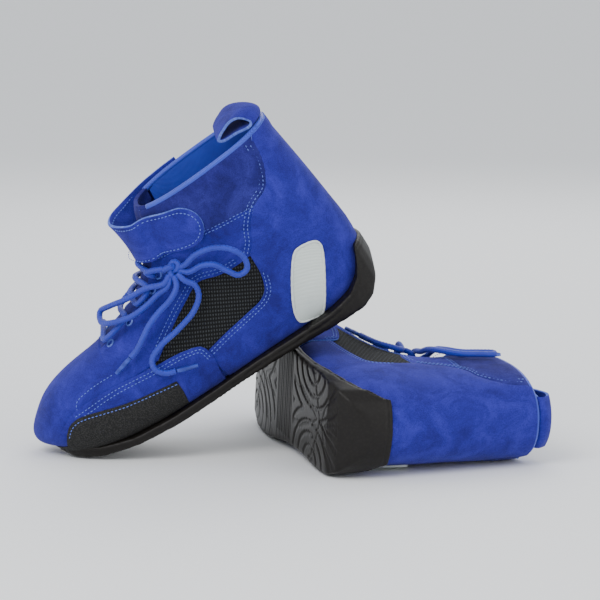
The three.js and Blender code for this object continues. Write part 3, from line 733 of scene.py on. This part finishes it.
# %% Pattern lines
MESH_EDGE = [(53, 83), (54, 67), (58, 55), (64, 50), (79, 46), (99, 42), (119, 38), (132, 45), (151, 46),
             (193, 47), (154, 51), (131, 65), (111, 77), (96, 85), (79, 82), (64, 82)]
REAR_SEAM = [(52.6, 84), (46, 92), (41, 103), (30, 116), (17, 123), (10.5, 139), (9, 158)]
REAR_FOOT = [(118.6, 37.4), (99, 41.4), (79, 45.4), (63.6, 49.4), (57.4, 54.6), (53.4, 66.8), (52.6, 84)]
COLLAR_SEAM = [(30.5, 118), (41, 119), (62, 120), (74, 121), (112, 118.5)]
LOBE = [(154.2, 51.5), (193, 47.6), (212, 42.6), (226, 44.2), (228.5, 48), (225, 53.2), (212, 56.5), (190, 58.5)]
MESH_TOP = [(52.6, 83.6), (64, 82.2), (79, 82.2), (96, 85.2), (111.3, 77.2), (131.4, 65.2), (154.2, 51.2)]
SADDLE_BACK = [(120, 19), (118, 33), (122, 43), (136, 47.5), (150, 48.8), (192, 49.8), (230, 46.5), (243.5, 40)]
PATCH_TOP = [(151.2, 32), (190, 37.7), (229, 43), (237, 40.6), (241.5, 37)]
THROAT_Y, TONGUE_Y, LINING_Y = 12.5, 20.0, 21.0   # half widths of the open front


def ta(points, side=1):
    """Pattern points as (square root of s, a), the flat shape that gets laid over the last."""
    points = np.asarray(points, float)
    s, a = place_at(points[:, 0], points[:, 1], side)
    return list(zip(np.sqrt(s), a))


def lined(points, side=1, step=3.0):
    flat = [(x, 0.0, z) for x, z in points]
    return ta(smooth(flat, step)[:, [0, 2]], side)


def turned_under(x0, x1, side, angle=UNDER):
    return [(math.sqrt(at_angle(x, side * angle)), side * angle) for x in np.linspace(x0, x1, 6)]


def throat_edge(s0, s1, side, y=THROAT_Y):
    s = np.linspace(s0, s1, 40)
    return list(zip(np.sqrt(s), at_width(s, y, side)))


def on_throat(s, side, y=THROAT_Y):
    return last_point(s, at_width(s, y, side))


def throat_top(side, y=THROAT_Y):
    """s at which the throat's edge reaches the collar's front."""
    return float(bisect(lambda s: on_throat(s, side, y)[..., 2] - 152.5, 0.4, 1.1, (1,))[0])


def top_edge(a0, a1, lift=0.0):
    a = np.linspace(a0, a1, 36)
    return list(zip(np.sqrt(at_top(a, lift)), a))


def wrapped(line):
    """The other side's line, counted on round the heel so that it joins the first side's."""
    return [(t, 2 * math.pi + a) for t, a in line]


THROAT_S = float(bisect(lambda s: 188.5 - last_point(s, 0.0)[..., 0], 0.0, 0.5, (1,))[0])
print("throat starts at s", round(THROAT_S, 3))

# %% [markdown]
# ## Rear panel
# One piece of suede wraps the whole heel. Its front edge is the long seam that runs from the sole,
# up round the mesh and in a soft S to the collar, where it becomes the pull loop.

# %% Rear panel
def rear_outline():
    arms = []
    for side in (1, -1):
        seam = lined(REAR_FOOT, side) + lined(REAR_SEAM, side)[1:]
        arms.append(turned_under(112, 118.6, side) + ta([(118.6, 22), (118.6, 30)], side) + seam)
    outer, inner = arms[0], wrapped(arms[1])
    heel = math.sqrt(0.6)
    under = [(heel, UNDER), *arms[0]]
    top = top_edge(outer[-1][1], inner[-1][1], -0.4)
    return under + top[1:-1] + inner[::-1] + [(heel, 2 * math.pi - UNDER)]


rear = lay_over(rear_outline(), REAR_OUT, puff=0.5, reach=5)
print("rear panel:", len(rear.verts), "points")
add_piece("heel_suede", rear, [SUEDE, EDGE], node="rear_panel", thick=1.5, bevel=0.35)

# %% [markdown]
# ## Mesh sides
# The mesh panels run a little way under the suede around them, as they are sewn on the real boot.

# %% Mesh sides
def spread(points, amount):
    """An outline grown outwards from its own middle, for a seam allowance."""
    points = np.asarray(points, float)
    middle = points.mean(axis=0)
    away = points - middle
    size = np.linalg.norm(away, axis=1, keepdims=True)
    return points + away / size * amount


for side, label in ((1, "outer"), (-1, "inner")):
    outline = spread(MESH_EDGE, 3.2)
    knit = lay_over(ta(outline, side), MESH_OUT, puff=0.3, reach=14)
    print(label, "mesh:", len(knit.verts), "points")
    add_piece(f"{label}_rib_mesh", knit, [MESH], thick=0.9,
              node=("lateral" if side > 0 else "medial") + "_mesh")

# %% [markdown]
# ## Vamp
# The toe piece closes over the whole front of the foot. Its flat shape reaches s = 0, where every
# angle meets in one point, and merging those points closes the toe.

# %% Vamp
def vamp_outline():
    arms = []
    for side in (1, -1):
        arm = turned_under(112, 119, side) + ta([(119.2, 22), (119.2, 30), (119.2, 37.4), (126, 46)], side)
        arms.append(arm + ta([(150, 54), (178, 58), (186, 62), (188, 66)], side))
    ridge = [(math.sqrt(THROAT_S), 0.0)]
    return arms[0] + ridge + arms[1][::-1] + [(0.0, -UNDER), (0.0, UNDER)]


vamp = lay_over(vamp_outline(), VAMP_OUT, step_t=0.011)
print("vamp:", len(vamp.verts), "points")
add_piece("toe_suede", vamp, [SUEDE, EDGE], node="toe_vamp", thick=1.4)

# %% [markdown]
# ## Quarters and collars
# The quarter carries the eyelets and runs forward into a rounded lobe on the vamp. The collar above
# it is softer and padded, so its middle is raised.

# %% Quarters and collars
for side, label in ((1, "outer"), (-1, "inner")):
    node = "lateral" if side > 0 else "medial"
    tuck = [(x - 5, z) for x, z in REAR_SEAM[:4]]
    start = float(bisect(lambda s: 190 - on_throat(s, side)[..., 0], 0.1, 0.5, (1,))[0])
    finish = float(bisect(lambda s: on_throat(s, side)[..., 2] - 119, 0.4, 1.0, (1,))[0])
    outline = lined(MESH_TOP, side) + lined(LOBE, side)[1:] + throat_edge(start, finish, side)
    outline += lined(COLLAR_SEAM[::-1], side) + lined(tuck[::-1], side)
    quarter = lay_over(outline, QUARTER_OUT)
    print(label, "quarter:", len(quarter.verts), "points")
    add_piece(f"{label}_quarter_suede", quarter, [SUEDE, EDGE], node=f"{node}_quarter",
              thick=1.5, bevel=0.3)
    top_s = throat_top(side)
    back = [(x - 4, z) for x, z in REAR_SEAM[3:]]
    edge = lined([(x, z - 4) for x, z in COLLAR_SEAM], side)
    front = throat_edge(finish - 0.03, top_s, side)
    rear_edge = lined(back[::-1], side)
    outline = edge + front + top_edge(front[-1][1], rear_edge[0][1], -0.6)[1:-1] + rear_edge
    collar = lay_over(outline, COLLAR_OUT, puff=2.2, reach=17)
    print(label, "collar:", len(collar.verts), "points")
    add_piece(f"{label}_collar_pad", collar, [SOFT_SUEDE, EDGE], node=f"{node}_collar",
              thick=1.3, bevel=0.3)

# %% [markdown]
# ## Pieces sewn on top
# The saddle wraps the ball of the foot, the rough patch takes the wear at the little toe, and the
# white patch on the outer heel is a plain slanted bar with a raised, close-stitched border.

# %% Saddles, abrasion patch and white patch
for side, label in ((1, "outer"), (-1, "inner")):
    outline = turned_under(150, 124, side)[-1:] + lined(SADDLE_BACK, side)
    outline += lined([(243.5, 40), (241, 36.6), (238, 31)], side)[1:] + turned_under(240, 124, side)
    saddle = lay_over(outline, SADDLE_OUT, puff=0.3, reach=4)
    print(label, "saddle:", len(saddle.verts), "points")
    add_piece(f"{label}_saddle_suede", saddle, [SUEDE, EDGE], thick=1.2, bevel=0.3,
              node=("lateral" if side > 0 else "medial") + "_saddle")

outline = turned_under(246, 153.4, 1, 2.3) + lined([(152.8, 14), (150.9, 23), (151.2, 32)])
outline += lined(PATCH_TOP)[1:]
outline += lined([(241.5, 37), (245, 31), (246.5, 27)])[1:]
patch = lay_over(outline, SADDLE_OUT + 0.9, puff=0.5, reach=3)
add_piece("rough_patch", patch, [ABRASION], node="abrasion_patch", thick=1.6, bevel=0.3)

EMBLEM = [(38, 15.5), (49, 19.5), (27, 65), (21, 69.5), (7, 66.5), (5, 61), (26.5, 19), (31.5, 14.8)]
badge = lay_over(lined([*EMBLEM, EMBLEM[0]], step=2.0), EMBLEM_OUT - 0.2, puff=0.5, reach=3,
                 step_t=0.006, step_a=0.04)
add_piece("white_patch", badge, [PATCH], node="emblem_patch", thick=1.2, bevel=0.25)

rim_line = spread(EMBLEM, -0.9)
rim_flat = smooth([(x, 0.0, z) for x, z in rim_line], 1.0, closed=True)
rim_s, rim_a = place_at(rim_flat[:, 0], rim_flat[:, 2], 1)
rim = skin(rim_s, rim_a, np.full(len(rim_s), EMBLEM_OUT))
border = tube(np.vstack((rim, rim[:1])), 0.95, 0.7, 10, braid=0.12, pitch=1.6)
add_piece("patch_border", border, [BORDER])

PAD = [(78, 121), (104, 119.5), (110, 125), (110, 138), (104, 144), (78, 144), (74, 139), (74, 126)]
pad = lay_over(lined([*PAD, PAD[0]]), PAD_OUT, puff=0.3, reach=3)
add_piece("fastener_pile", pad, [PILE], node="fastener_pad", thick=1.2)
print("sewn-on pieces ready")

# %% [markdown]
# ## Tongue and lining
# The padded tongue shows between the eyelets. The lining is one sock inside the boot, open from
# edge to edge over the instep.

# %% Tongue and lining
def tongue_outline():
    s0 = float(bisect(lambda s: 196 - last_point(s, 0.0)[..., 0], 0.0, 0.5, (1,))[0])
    s1 = float(bisect(lambda s: last_point(s, 0.0)[..., 2] - 156, 0.4, 1.1, (1,))[0])
    right = throat_edge(s0, s1, 1, TONGUE_Y)
    left = throat_edge(s0, s1, -1, TONGUE_Y)
    return right + left[::-1]


tongue = lay_over(tongue_outline(), TONGUE_OUT, puff=1.9, reach=9)
add_piece("tongue_pad", tongue, [SOFT_SUEDE], body=None, node="tongue", thick=3.0, bevel=0.8)
for side in SIDES:
    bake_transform(MADE[f"{side}_tongue_pad"])


def lining_outline():
    s0 = float(bisect(lambda s: 192 - last_point(s, 0.0)[..., 0], 0.0, 0.5, (1,))[0])
    arms = []
    for side in (1, -1):
        arms.append(throat_edge(s0, throat_top(side, LINING_Y), side, LINING_Y))
    outer, inner = arms[0], wrapped(arms[1])
    over_heel = top_edge(outer[-1][1], inner[-1][1], -0.8)[1:-1]
    foot = [(math.sqrt(0.62), 2 * math.pi - UNDER), (math.sqrt(0.62), UNDER)]
    toe = [(math.sqrt(s0), 2 * math.pi - UNDER), (math.sqrt(s0), UNDER)]
    return outer + over_heel + inner[::-1] + toe[:1] + foot + toe[1:]


lining = lay_over(lining_outline(), LINING_OUT, inside=True)
add_piece("satin_sock", lining, [SATIN], node="lining", thick=0.0)
print("tongue and lining:", len(MADE), "pieces so far")

# %% [markdown]
# The collar is finished with a roll of satin, which shows as a bright rim between the two edges of
# the suede. The footbed is a thin pad that closes the floor inside.

# %% Collar roll and footbed
roll_a = np.linspace(0.62, 2 * math.pi - 0.62, 150)
roll = skin(at_top(roll_a, -0.2), roll_a, np.full(150, 2.9))
add_piece("collar_roll", tube(roll, 2.3, gap=1.6, around=14), [SATIN])

FLOOR_HALF = 0.72             # half the angle that the footbed covers
arc = np.linspace(math.pi - FLOOR_HALF, math.pi + FLOOR_HALF, 12)
bed = lay_over([(0.3, a) for a in arc] + [(math.sqrt(0.70), a) for a in arc[::-1]], -0.3, inside=True)
add_piece("cloth_footbed", bed, [FOOTBED], node="footbed", thick=-2.6)
for side in SIDES:
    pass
print("collar roll", round(length_of(roll)), "mm long")

# %% [markdown]
# ## Ankle strap
# One strip of suede, sewn down on the inner side, bowed forward round the front of the ankle, and
# lying on its fastener pad with a rounded tip. It bends over two joints; here it is one bent mesh,
# baked into place, that rides on no body.

# %% Ankle strap
STRAP_W, STRAP_T, STRAP_BOW, TIP_R = 33.0, 2.4, 13.0, 15.5
strap_front = float(last_point(0.78, 0.0)[0]) + EYESTAY_OUT + STRAP_BOW + STRAP_T
STRAP_LINE = on_side(-1, [(66, 144, 9.2), (80, 143, 9.4), (93, 141.5, 9.9)]) + [
    (strap_front - 15, -21, 138), (strap_front - 4, -12, 136.5), (strap_front, 0, 134.5),
    (strap_front - 4.5, 13, 133), (strap_front - 15, 24, 132)] + on_side(1, [
        (103, 131, 9.8), (90, 130, 9.8), (78, 129, 9.8), (68, 128.5, 9.8)])
LEAN = 0.20                   # how far the strip leans forward at its foot, in the bow


def ribbon_frame(line):
    """Length along a line, and the direction along it at each point."""
    run = np.concatenate(([0], np.cumsum(np.linalg.norm(np.diff(line, axis=0), axis=1))))
    way = np.gradient(line, axis=0)
    way /= np.linalg.norm(way, axis=1, keepdims=True)
    return run, way


def strap_frame(u, line, run, way):
    """The strap's middle at length u, its width direction, and the direction across its face."""
    at = np.array([np.interp(u, run, line[:, k]) for k in range(3)])
    forward = np.array([np.interp(u, run, way[:, k]) for k in range(3)])
    up = np.array([0.0, 0.0, 1.0])
    up = up - forward * up.dot(forward)
    up /= np.linalg.norm(up)
    return at, up, np.cross(up, forward)


def strap_shift(u, v, run):
    """How far the leaning bow and the cupped width move a point of the strap."""
    bow = math.sin(math.pi * min(max((u - 22) / (run[-1] * 0.62 - 22), 0), 1)) ** 2
    cup = 0.9 * (abs(v) / (STRAP_W / 2)) ** 2
    return -v * LEAN * bow - cup


def strap_piece(outline, line, lift=0.0):
    """A flat strap outline, in length and width, bent along a line."""
    run, way = ribbon_frame(line)
    bm = cut_grid(outline, 2.4, 3.0)
    for vert in bm.verts:
        u, v = vert.co.x, vert.co.y
        at, up, out = strap_frame(u, line, run, way)
        vert.co = at + up * v + out * (strap_shift(u, v, run) + lift)
    bm.normal_update()
    middle = sum((v.co for v in bm.verts), Vector()) / len(bm.verts)
    facing = sum(f.normal.dot(f.calc_center_median() - Vector((60, 0, middle.z))) for f in bm.faces)
    if facing < 0:
        bmesh.ops.reverse_faces(bm, faces=bm.faces)
    return bm


def round_tip(length, width, radius, inset=0.0):
    half = width / 2 - inset
    tip = [(length - inset - radius + radius * math.sin(t), half * math.cos(t))
           for t in np.linspace(0, math.pi, 15)]
    return [(inset, -half), (inset, half)] + tip


strap_line = smooth(STRAP_LINE, 1.5)
strap_length = length_of(strap_line)
strap = strap_piece(round_tip(strap_length, STRAP_W, TIP_R), strap_line, lift=STRAP_T / 2)
add_piece("suede_strap", strap, [SUEDE, EDGE], body=None, node="ankle_strap strap_tip",
          thick=STRAP_T, bevel=0.4)


def fold_with_strap(name):
    """Both boots' copies, baked into place in the shared frame."""
    for side in SIDES:
        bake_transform(MADE[f"{side}_{name}"])


fold_with_strap("suede_strap")
print("strap", round(strap_length), "mm long")

# %% [markdown]
# ## Pull loop
# The wide tab is one band folded forward over the back of the collar. Its side view is a flat
# almond, and the light raw edge of the suede follows that line.

# %% Pull loop
LOOP_W, LOOP_T = 40.0, 2.2
LOOP_BASE = 163.5 + 1.2
HEEL_CURVE = 9.5              # how far the band follows the heel round at its sides
LOOP_LINE = [(-8.9, 1.1), (-10.4, 5), (-6.8, 10), (1.2, 13.9), (13, 13.9), (24.2, 9.6), (28.9, 5),
             (26.4, 1.7), (10, 1.1)]
loop_line = smooth([(x, 0, LOOP_BASE + z) for x, z in LOOP_LINE], 1.2, closed=True)


def band(line, width, cells):
    """A closed band of the given width, bent round a closed line."""
    bm = bmesh.new()
    first = [bm.verts.new((p[0], -width / 2, p[2])) for p in line]
    edges = [bm.edges.new((a, b)) for a, b in zip(first, first[1:] + first[:1])]
    for _ in range(cells):
        pulled = bmesh.ops.extrude_edge_only(bm, edges=edges)["geom"]
        fresh = [v for v in pulled if isinstance(v, bmesh.types.BMVert)]
        edges = [e for e in pulled if isinstance(e, bmesh.types.BMEdge)]
        bmesh.ops.translate(bm, verts=fresh, vec=(0, width / cells, 0))
    bm.normal_update()
    return bm


loop = band(loop_line, LOOP_W, 14)
for vert in loop.verts:
    share = abs(vert.co.y) / (LOOP_W / 2)
    vert.co.x += HEEL_CURVE * share ** 2 * min(max((20 - vert.co.x) / 28, 0), 1)
    vert.co.z -= 0.8 * share ** 4 * (1 if vert.co.z > LOOP_BASE + 4 else 0)
middle = Vector((9, 0, LOOP_BASE + 7))
if sum(f.normal.dot(f.calc_center_median() - middle) for f in loop.faces) < 0:
    bmesh.ops.reverse_faces(loop, faces=loop.faces)
add_piece("pull_tab", loop, [SUEDE, EDGE], body=None, node="pull_loop", thick=LOOP_T, bevel=0.35)
for side in SIDES:
    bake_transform(MADE[f"{side}_pull_tab"])
print("pull tab", round(length_of(loop_line)), "mm round")

# %% [markdown]
# ## Rubber sole
# The sole is one moulding: a thin cup that follows the plan of the foot. The frame's own sole has
# the right shape but large facets, so a copy of it is remeshed finely and smoothed, and the tread is
# then pressed into its underside: leaf grooves in mirrored arcs, and fine ribs across the waist.

# %% Rubber sole
SOLE_LINE = [(-32, 40), (-27, 30), (-20, 13), (-11, 4), (0, 0), (150, 0), (168, 0.6), (202, 3.2),
             (229, 8), (250, 15), (275, 30)]
CUP_TOP = [(-40, 44), (-17, 44), (-13, 34), (-7, 24), (4, 16), (24, 11.5), (62, 9.5), (124, 8.2), (168, 8.5),
           (202, 10.5), (229, 17), (246, 25.5), (257, 29), (275, 29)]
VOXEL, SMOOTHINGS = 1.15, 10
GROOVE_BELOW, GROOVE_DEEP = 4.2, 0.55   # the line moulded round the cup


def tread(x, y):
    """Depth of the tread groove at each point, in millimetres."""
    depth = np.zeros_like(x)
    ribs = (x > 92) & (x < 134)
    depth[ribs] = 0.6 * (np.sin(x[ribs] * 2 * math.pi / 4.2) > 0.3)
    for low, high, centre in ((-30, 88, 26.0), (138, 262, 196.0)):
        zone = (x > low) & (x < high)
        u, v = (x[zone] - centre) / 52, y[zone] / 34
        turn = np.sin(7.5 * np.sqrt((u - 0.25) ** 2 + (np.abs(v) - 1.05) ** 2) * math.pi)
        fan = np.arctan2(np.abs(v) + 0.15, u + 0.2)
        leaves = np.sin(fan * 11 + 2.6 * u)
        depth[zone] = 0.7 * (turn > 0.66) + 0.4 * ((leaves > 0.85) & (turn < 0.35))
    border = np.abs(y) > 34
    depth[border] *= 0.5
    return np.clip(depth, 0, 0.8)


def pressed_sole(side):
    source = bpy.data.objects[f"{side}_outsole"]
    bm = bmesh.new()
    bm.from_mesh(source.data)
    bmesh.ops.remove_doubles(bm, verts=bm.verts, dist=1e-6)
    bm.transform(PLACE[side].inverted())
    if side == "right":
        bmesh.ops.reverse_faces(bm, faces=bm.faces)
    rough = bpy.data.meshes.new("rough_sole")
    bm.to_mesh(rough)
    bm.free()
    helper = bpy.data.objects.new("rough_sole", rough)
    bpy.context.scene.collection.objects.link(helper)
    grow = helper.modifiers.new("remesh", "REMESH")
    grow.mode, grow.voxel_size = "VOXEL", VOXEL
    ready = bpy.data.meshes.new_from_object(helper.evaluated_get(bpy.context.evaluated_depsgraph_get()))
    bpy.data.objects.remove(helper)
    bm = bmesh.new()
    bm.from_mesh(ready)
    for _ in range(SMOOTHINGS):
        bmesh.ops.smooth_vert(bm, verts=bm.verts, factor=0.5,
                              use_axis_x=True, use_axis_y=True, use_axis_z=True)
    bm.normal_update()
    points = np.array([v.co for v in bm.verts])
    normals = np.array([v.normal for v in bm.verts])
    ground = np.interp(points[:, 0], *np.array(SOLE_LINE).T)
    under = (normals[:, 2] < -0.8) & (np.abs(points[:, 2] - ground) < 2.2) & (points[:, 0] > -22)
    depth = np.where(under, tread(points[:, 0], points[:, 1]), 0)
    top = np.interp(points[:, 0], *np.array(CUP_TOP).T)
    groove = (np.abs(normals[:, 2]) < 0.75) & (np.abs(points[:, 2] - top + GROOVE_BELOW) < 0.7)
    for vert, deep, cut in zip(bm.verts, depth, groove):
        vert.co.z += deep
        if cut:
            vert.co -= vert.normal * GROOVE_DEEP
    return bm


for side in SIDES:
    sole = add_one("rubber_sole", side, pressed_sole(side), RUBBER, node="outsole")
    print(f"{side} sole:", len(sole.data.polygons), "faces")

# %% [markdown]
# ## Stitching
# Each seam has its row of light blue stitches, two rows where pieces overlap. A stitch is a tiny
# stretched ball of twenty faces, because there are hundreds of them.

# %% Stitches
STITCH_PITCH, STITCH_LONG, STITCH_WIDE = 3.1, 1.15, 0.42   # spacing, half length, half width


def add_stitch(bm, point, way, normal):
    """One stitch: a tiny ball stretched along its way."""
    across = normal.cross(way).normalized()
    turned = Matrix((way * STITCH_LONG, across * STITCH_WIDE, normal * STITCH_WIDE)).transposed().to_4x4()
    turned.translation = point
    bmesh.ops.create_icosphere(bm, subdivisions=1, radius=1.0, matrix=turned)


def stitch_rows(bm, line, side, out):
    """Stitches along a line of x, z points that lies over the last at a distance."""
    s, a = place_at(line[:, 0], line[:, 1], side)
    laid = skin(s, a, np.full(len(s), float(out)))
    points, ways = even(laid, STITCH_PITCH)
    normals = normal_at(*place_at(points[:, 0], points[:, 2], side))
    for point, way, normal in zip(points, ways, normals):
        add_stitch(bm, Vector(point), Vector(way), Vector(normal))


def moved(points, sideways):
    """A smooth side-view line moved sideways by a distance, for a second row."""
    flat = smooth([(x, 0.0, z) for x, z in points], 2.0)[:, [0, 2]]
    way = np.gradient(flat, axis=0)
    way /= np.linalg.norm(way, axis=1, keepdims=True)
    return flat + np.stack((-way[:, 1], way[:, 0]), -1) * sideways


thread = bmesh.new()
for side in (1, -1):
    for gap in (-2.2, -5.0):
        stitch_rows(thread, moved(REAR_SEAM, gap), side, REAR_OUT + 0.3)
    for gap in (2.0, 4.6):
        stitch_rows(thread, moved(REAR_FOOT[:-1], gap), side, REAR_OUT + 0.3)
    for gap in (2.4, 5.0):
        stitch_rows(thread, moved(MESH_TOP[1:], gap), side, QUARTER_OUT + 0.05)
    stitch_rows(thread, moved(LOBE[1:], 2.4), side, QUARTER_OUT + 0.05)
    for gap in (-2.4, -4.8):
        stitch_rows(thread, moved(COLLAR_SEAM, gap), side, QUARTER_OUT + 0.05)
    for gap in (-2.2, -4.4):
        stitch_rows(thread, moved(SADDLE_BACK[1:-1], gap), side, SADDLE_OUT + 0.3)
stitch_rows(thread, moved(PATCH_TOP, -2.0), 1, SADDLE_OUT + 1.4)
print(len(thread.verts) // 12, "stitches on each boot")
add_piece("seam_stitches", thread, [THREAD])

strap_thread = bmesh.new()
run, way = ribbon_frame(strap_line)
INSET = 2.6                   # the stitch line's distance from the strap's edge
seam = round_tip(strap_length, STRAP_W, TIP_R, INSET)
seam = np.array([(u, v, 0) for u, v in seam[1:] + seam[:1]], float)
spots, heads = even(smooth(seam, 1.5), STITCH_PITCH)
for spot, head in zip(spots, heads):
    ahead = spot + head * 0.5
    frames = []
    for u, v in (spot[:2], ahead[:2]):
        at, up, across = strap_frame(u, strap_line, run, way)
        out = -across if -across.dot(at - np.array((60, 0, at[2]))) > 0 else across
        frames.append((at + up * v + out * (strap_shift(u, v, run) + STRAP_T / 2 + 0.1), out))
    (here, normal), (ahead_of_it, _) = frames
    add_stitch(strap_thread, Vector(here), Vector(ahead_of_it - here).normalized(), Vector(normal))
add_piece("strap_stitches", strap_thread, [THREAD], body=None)
fold_with_strap("strap_stitches")

# %% [markdown]
# ## Eyelets
# Small rolled rims, made by spinning a little circle once round the lace hole.

# %% Eyelets
rims = bmesh.new()
for s in EYELET_ROWS:
    for side in (1, -1):
        a = float(at_width(s, EYELET_Y, side)[0])
        spot, normal = Vector(skin(s, a, np.array([QUARTER_OUT + 0.1]))[0]), Vector(normal_at(s, a))
        flat = normal.orthogonal().normalized()
        ring = bmesh.ops.create_circle(rims, segments=10, radius=0.75)["verts"]
        across = normal.cross(flat).normalized()
        pose = Matrix((flat, normal, across)).transposed().to_4x4()
        pose.translation = spot + flat * 2.9
        bmesh.ops.transform(rims, verts=ring, matrix=pose)
        edges = list({e for v in ring for e in v.link_edges})
        bmesh.ops.spin(rims, geom=ring + edges, cent=spot, axis=normal, angle=2 * math.pi, steps=20,
                       use_merge=True)
bmesh.ops.remove_doubles(rims, verts=rims.verts, dist=0.01)
bmesh.ops.recalc_face_normals(rims, faces=rims.faces)
add_piece("eyelet_rims", rims, [EDGE])
print("ten eyelets on each boot")

# %% [markdown]
# ## Hidden boards
# The insole board and the heel counter are the frame's own solids. They only get their finish.

# %% Boards
for side in SIDES:
    for node in ("insole_board", "heel_counter"):
        board = bpy.data.objects[f"{side}_{node}"]
        board.data.materials.clear()
        board.data.materials.append(BOARD)

# %% [markdown]
# ## Floor and light
# A pale floor, one large soft light from the upper left and a weaker one from the right.

# %% Floor and light
floor_mesh = bpy.data.meshes.new("floor")
floor_bm = bmesh.new()
bmesh.ops.create_grid(floor_bm, x_segments=1, y_segments=1, size=30)
floor_bm.to_mesh(floor_mesh)
floor_bm.free()
floor = bpy.data.objects.new("floor", floor_mesh)
floor_mesh.materials.append(new_material("pale_floor", (0.93, 0.935, 0.94), 0.8))
bpy.context.scene.collection.objects.link(floor)


def soft_light(name, place, energy, size, color=(1, 1, 1)):
    light = bpy.data.lights.new(name, "AREA")
    light.energy, light.size, light.color = energy, size, color
    holder = bpy.data.objects.new(name, light)
    holder.location = place
    holder.rotation_euler = (Vector((0, 0, 0.12)) - Vector(place)).to_track_quat("-Z", "Y").to_euler()
    bpy.context.scene.collection.objects.link(holder)


soft_light("key", (-1.0, -1.5, 1.7), 30, 1.3)
soft_light("fill", (1.5, -1.2, 0.9), 9, 1.6)
soft_light("back", (0.3, 1.6, 1.5), 14, 1.5)
world = bpy.data.worlds.new("studio")
world.use_nodes = True
world.node_tree.nodes["Background"].inputs["Color"].default_value = (0.93, 0.96, 1, 1)
world.node_tree.nodes["Background"].inputs["Strength"].default_value = 1.0
bpy.context.scene.world = world
print("studio ready")
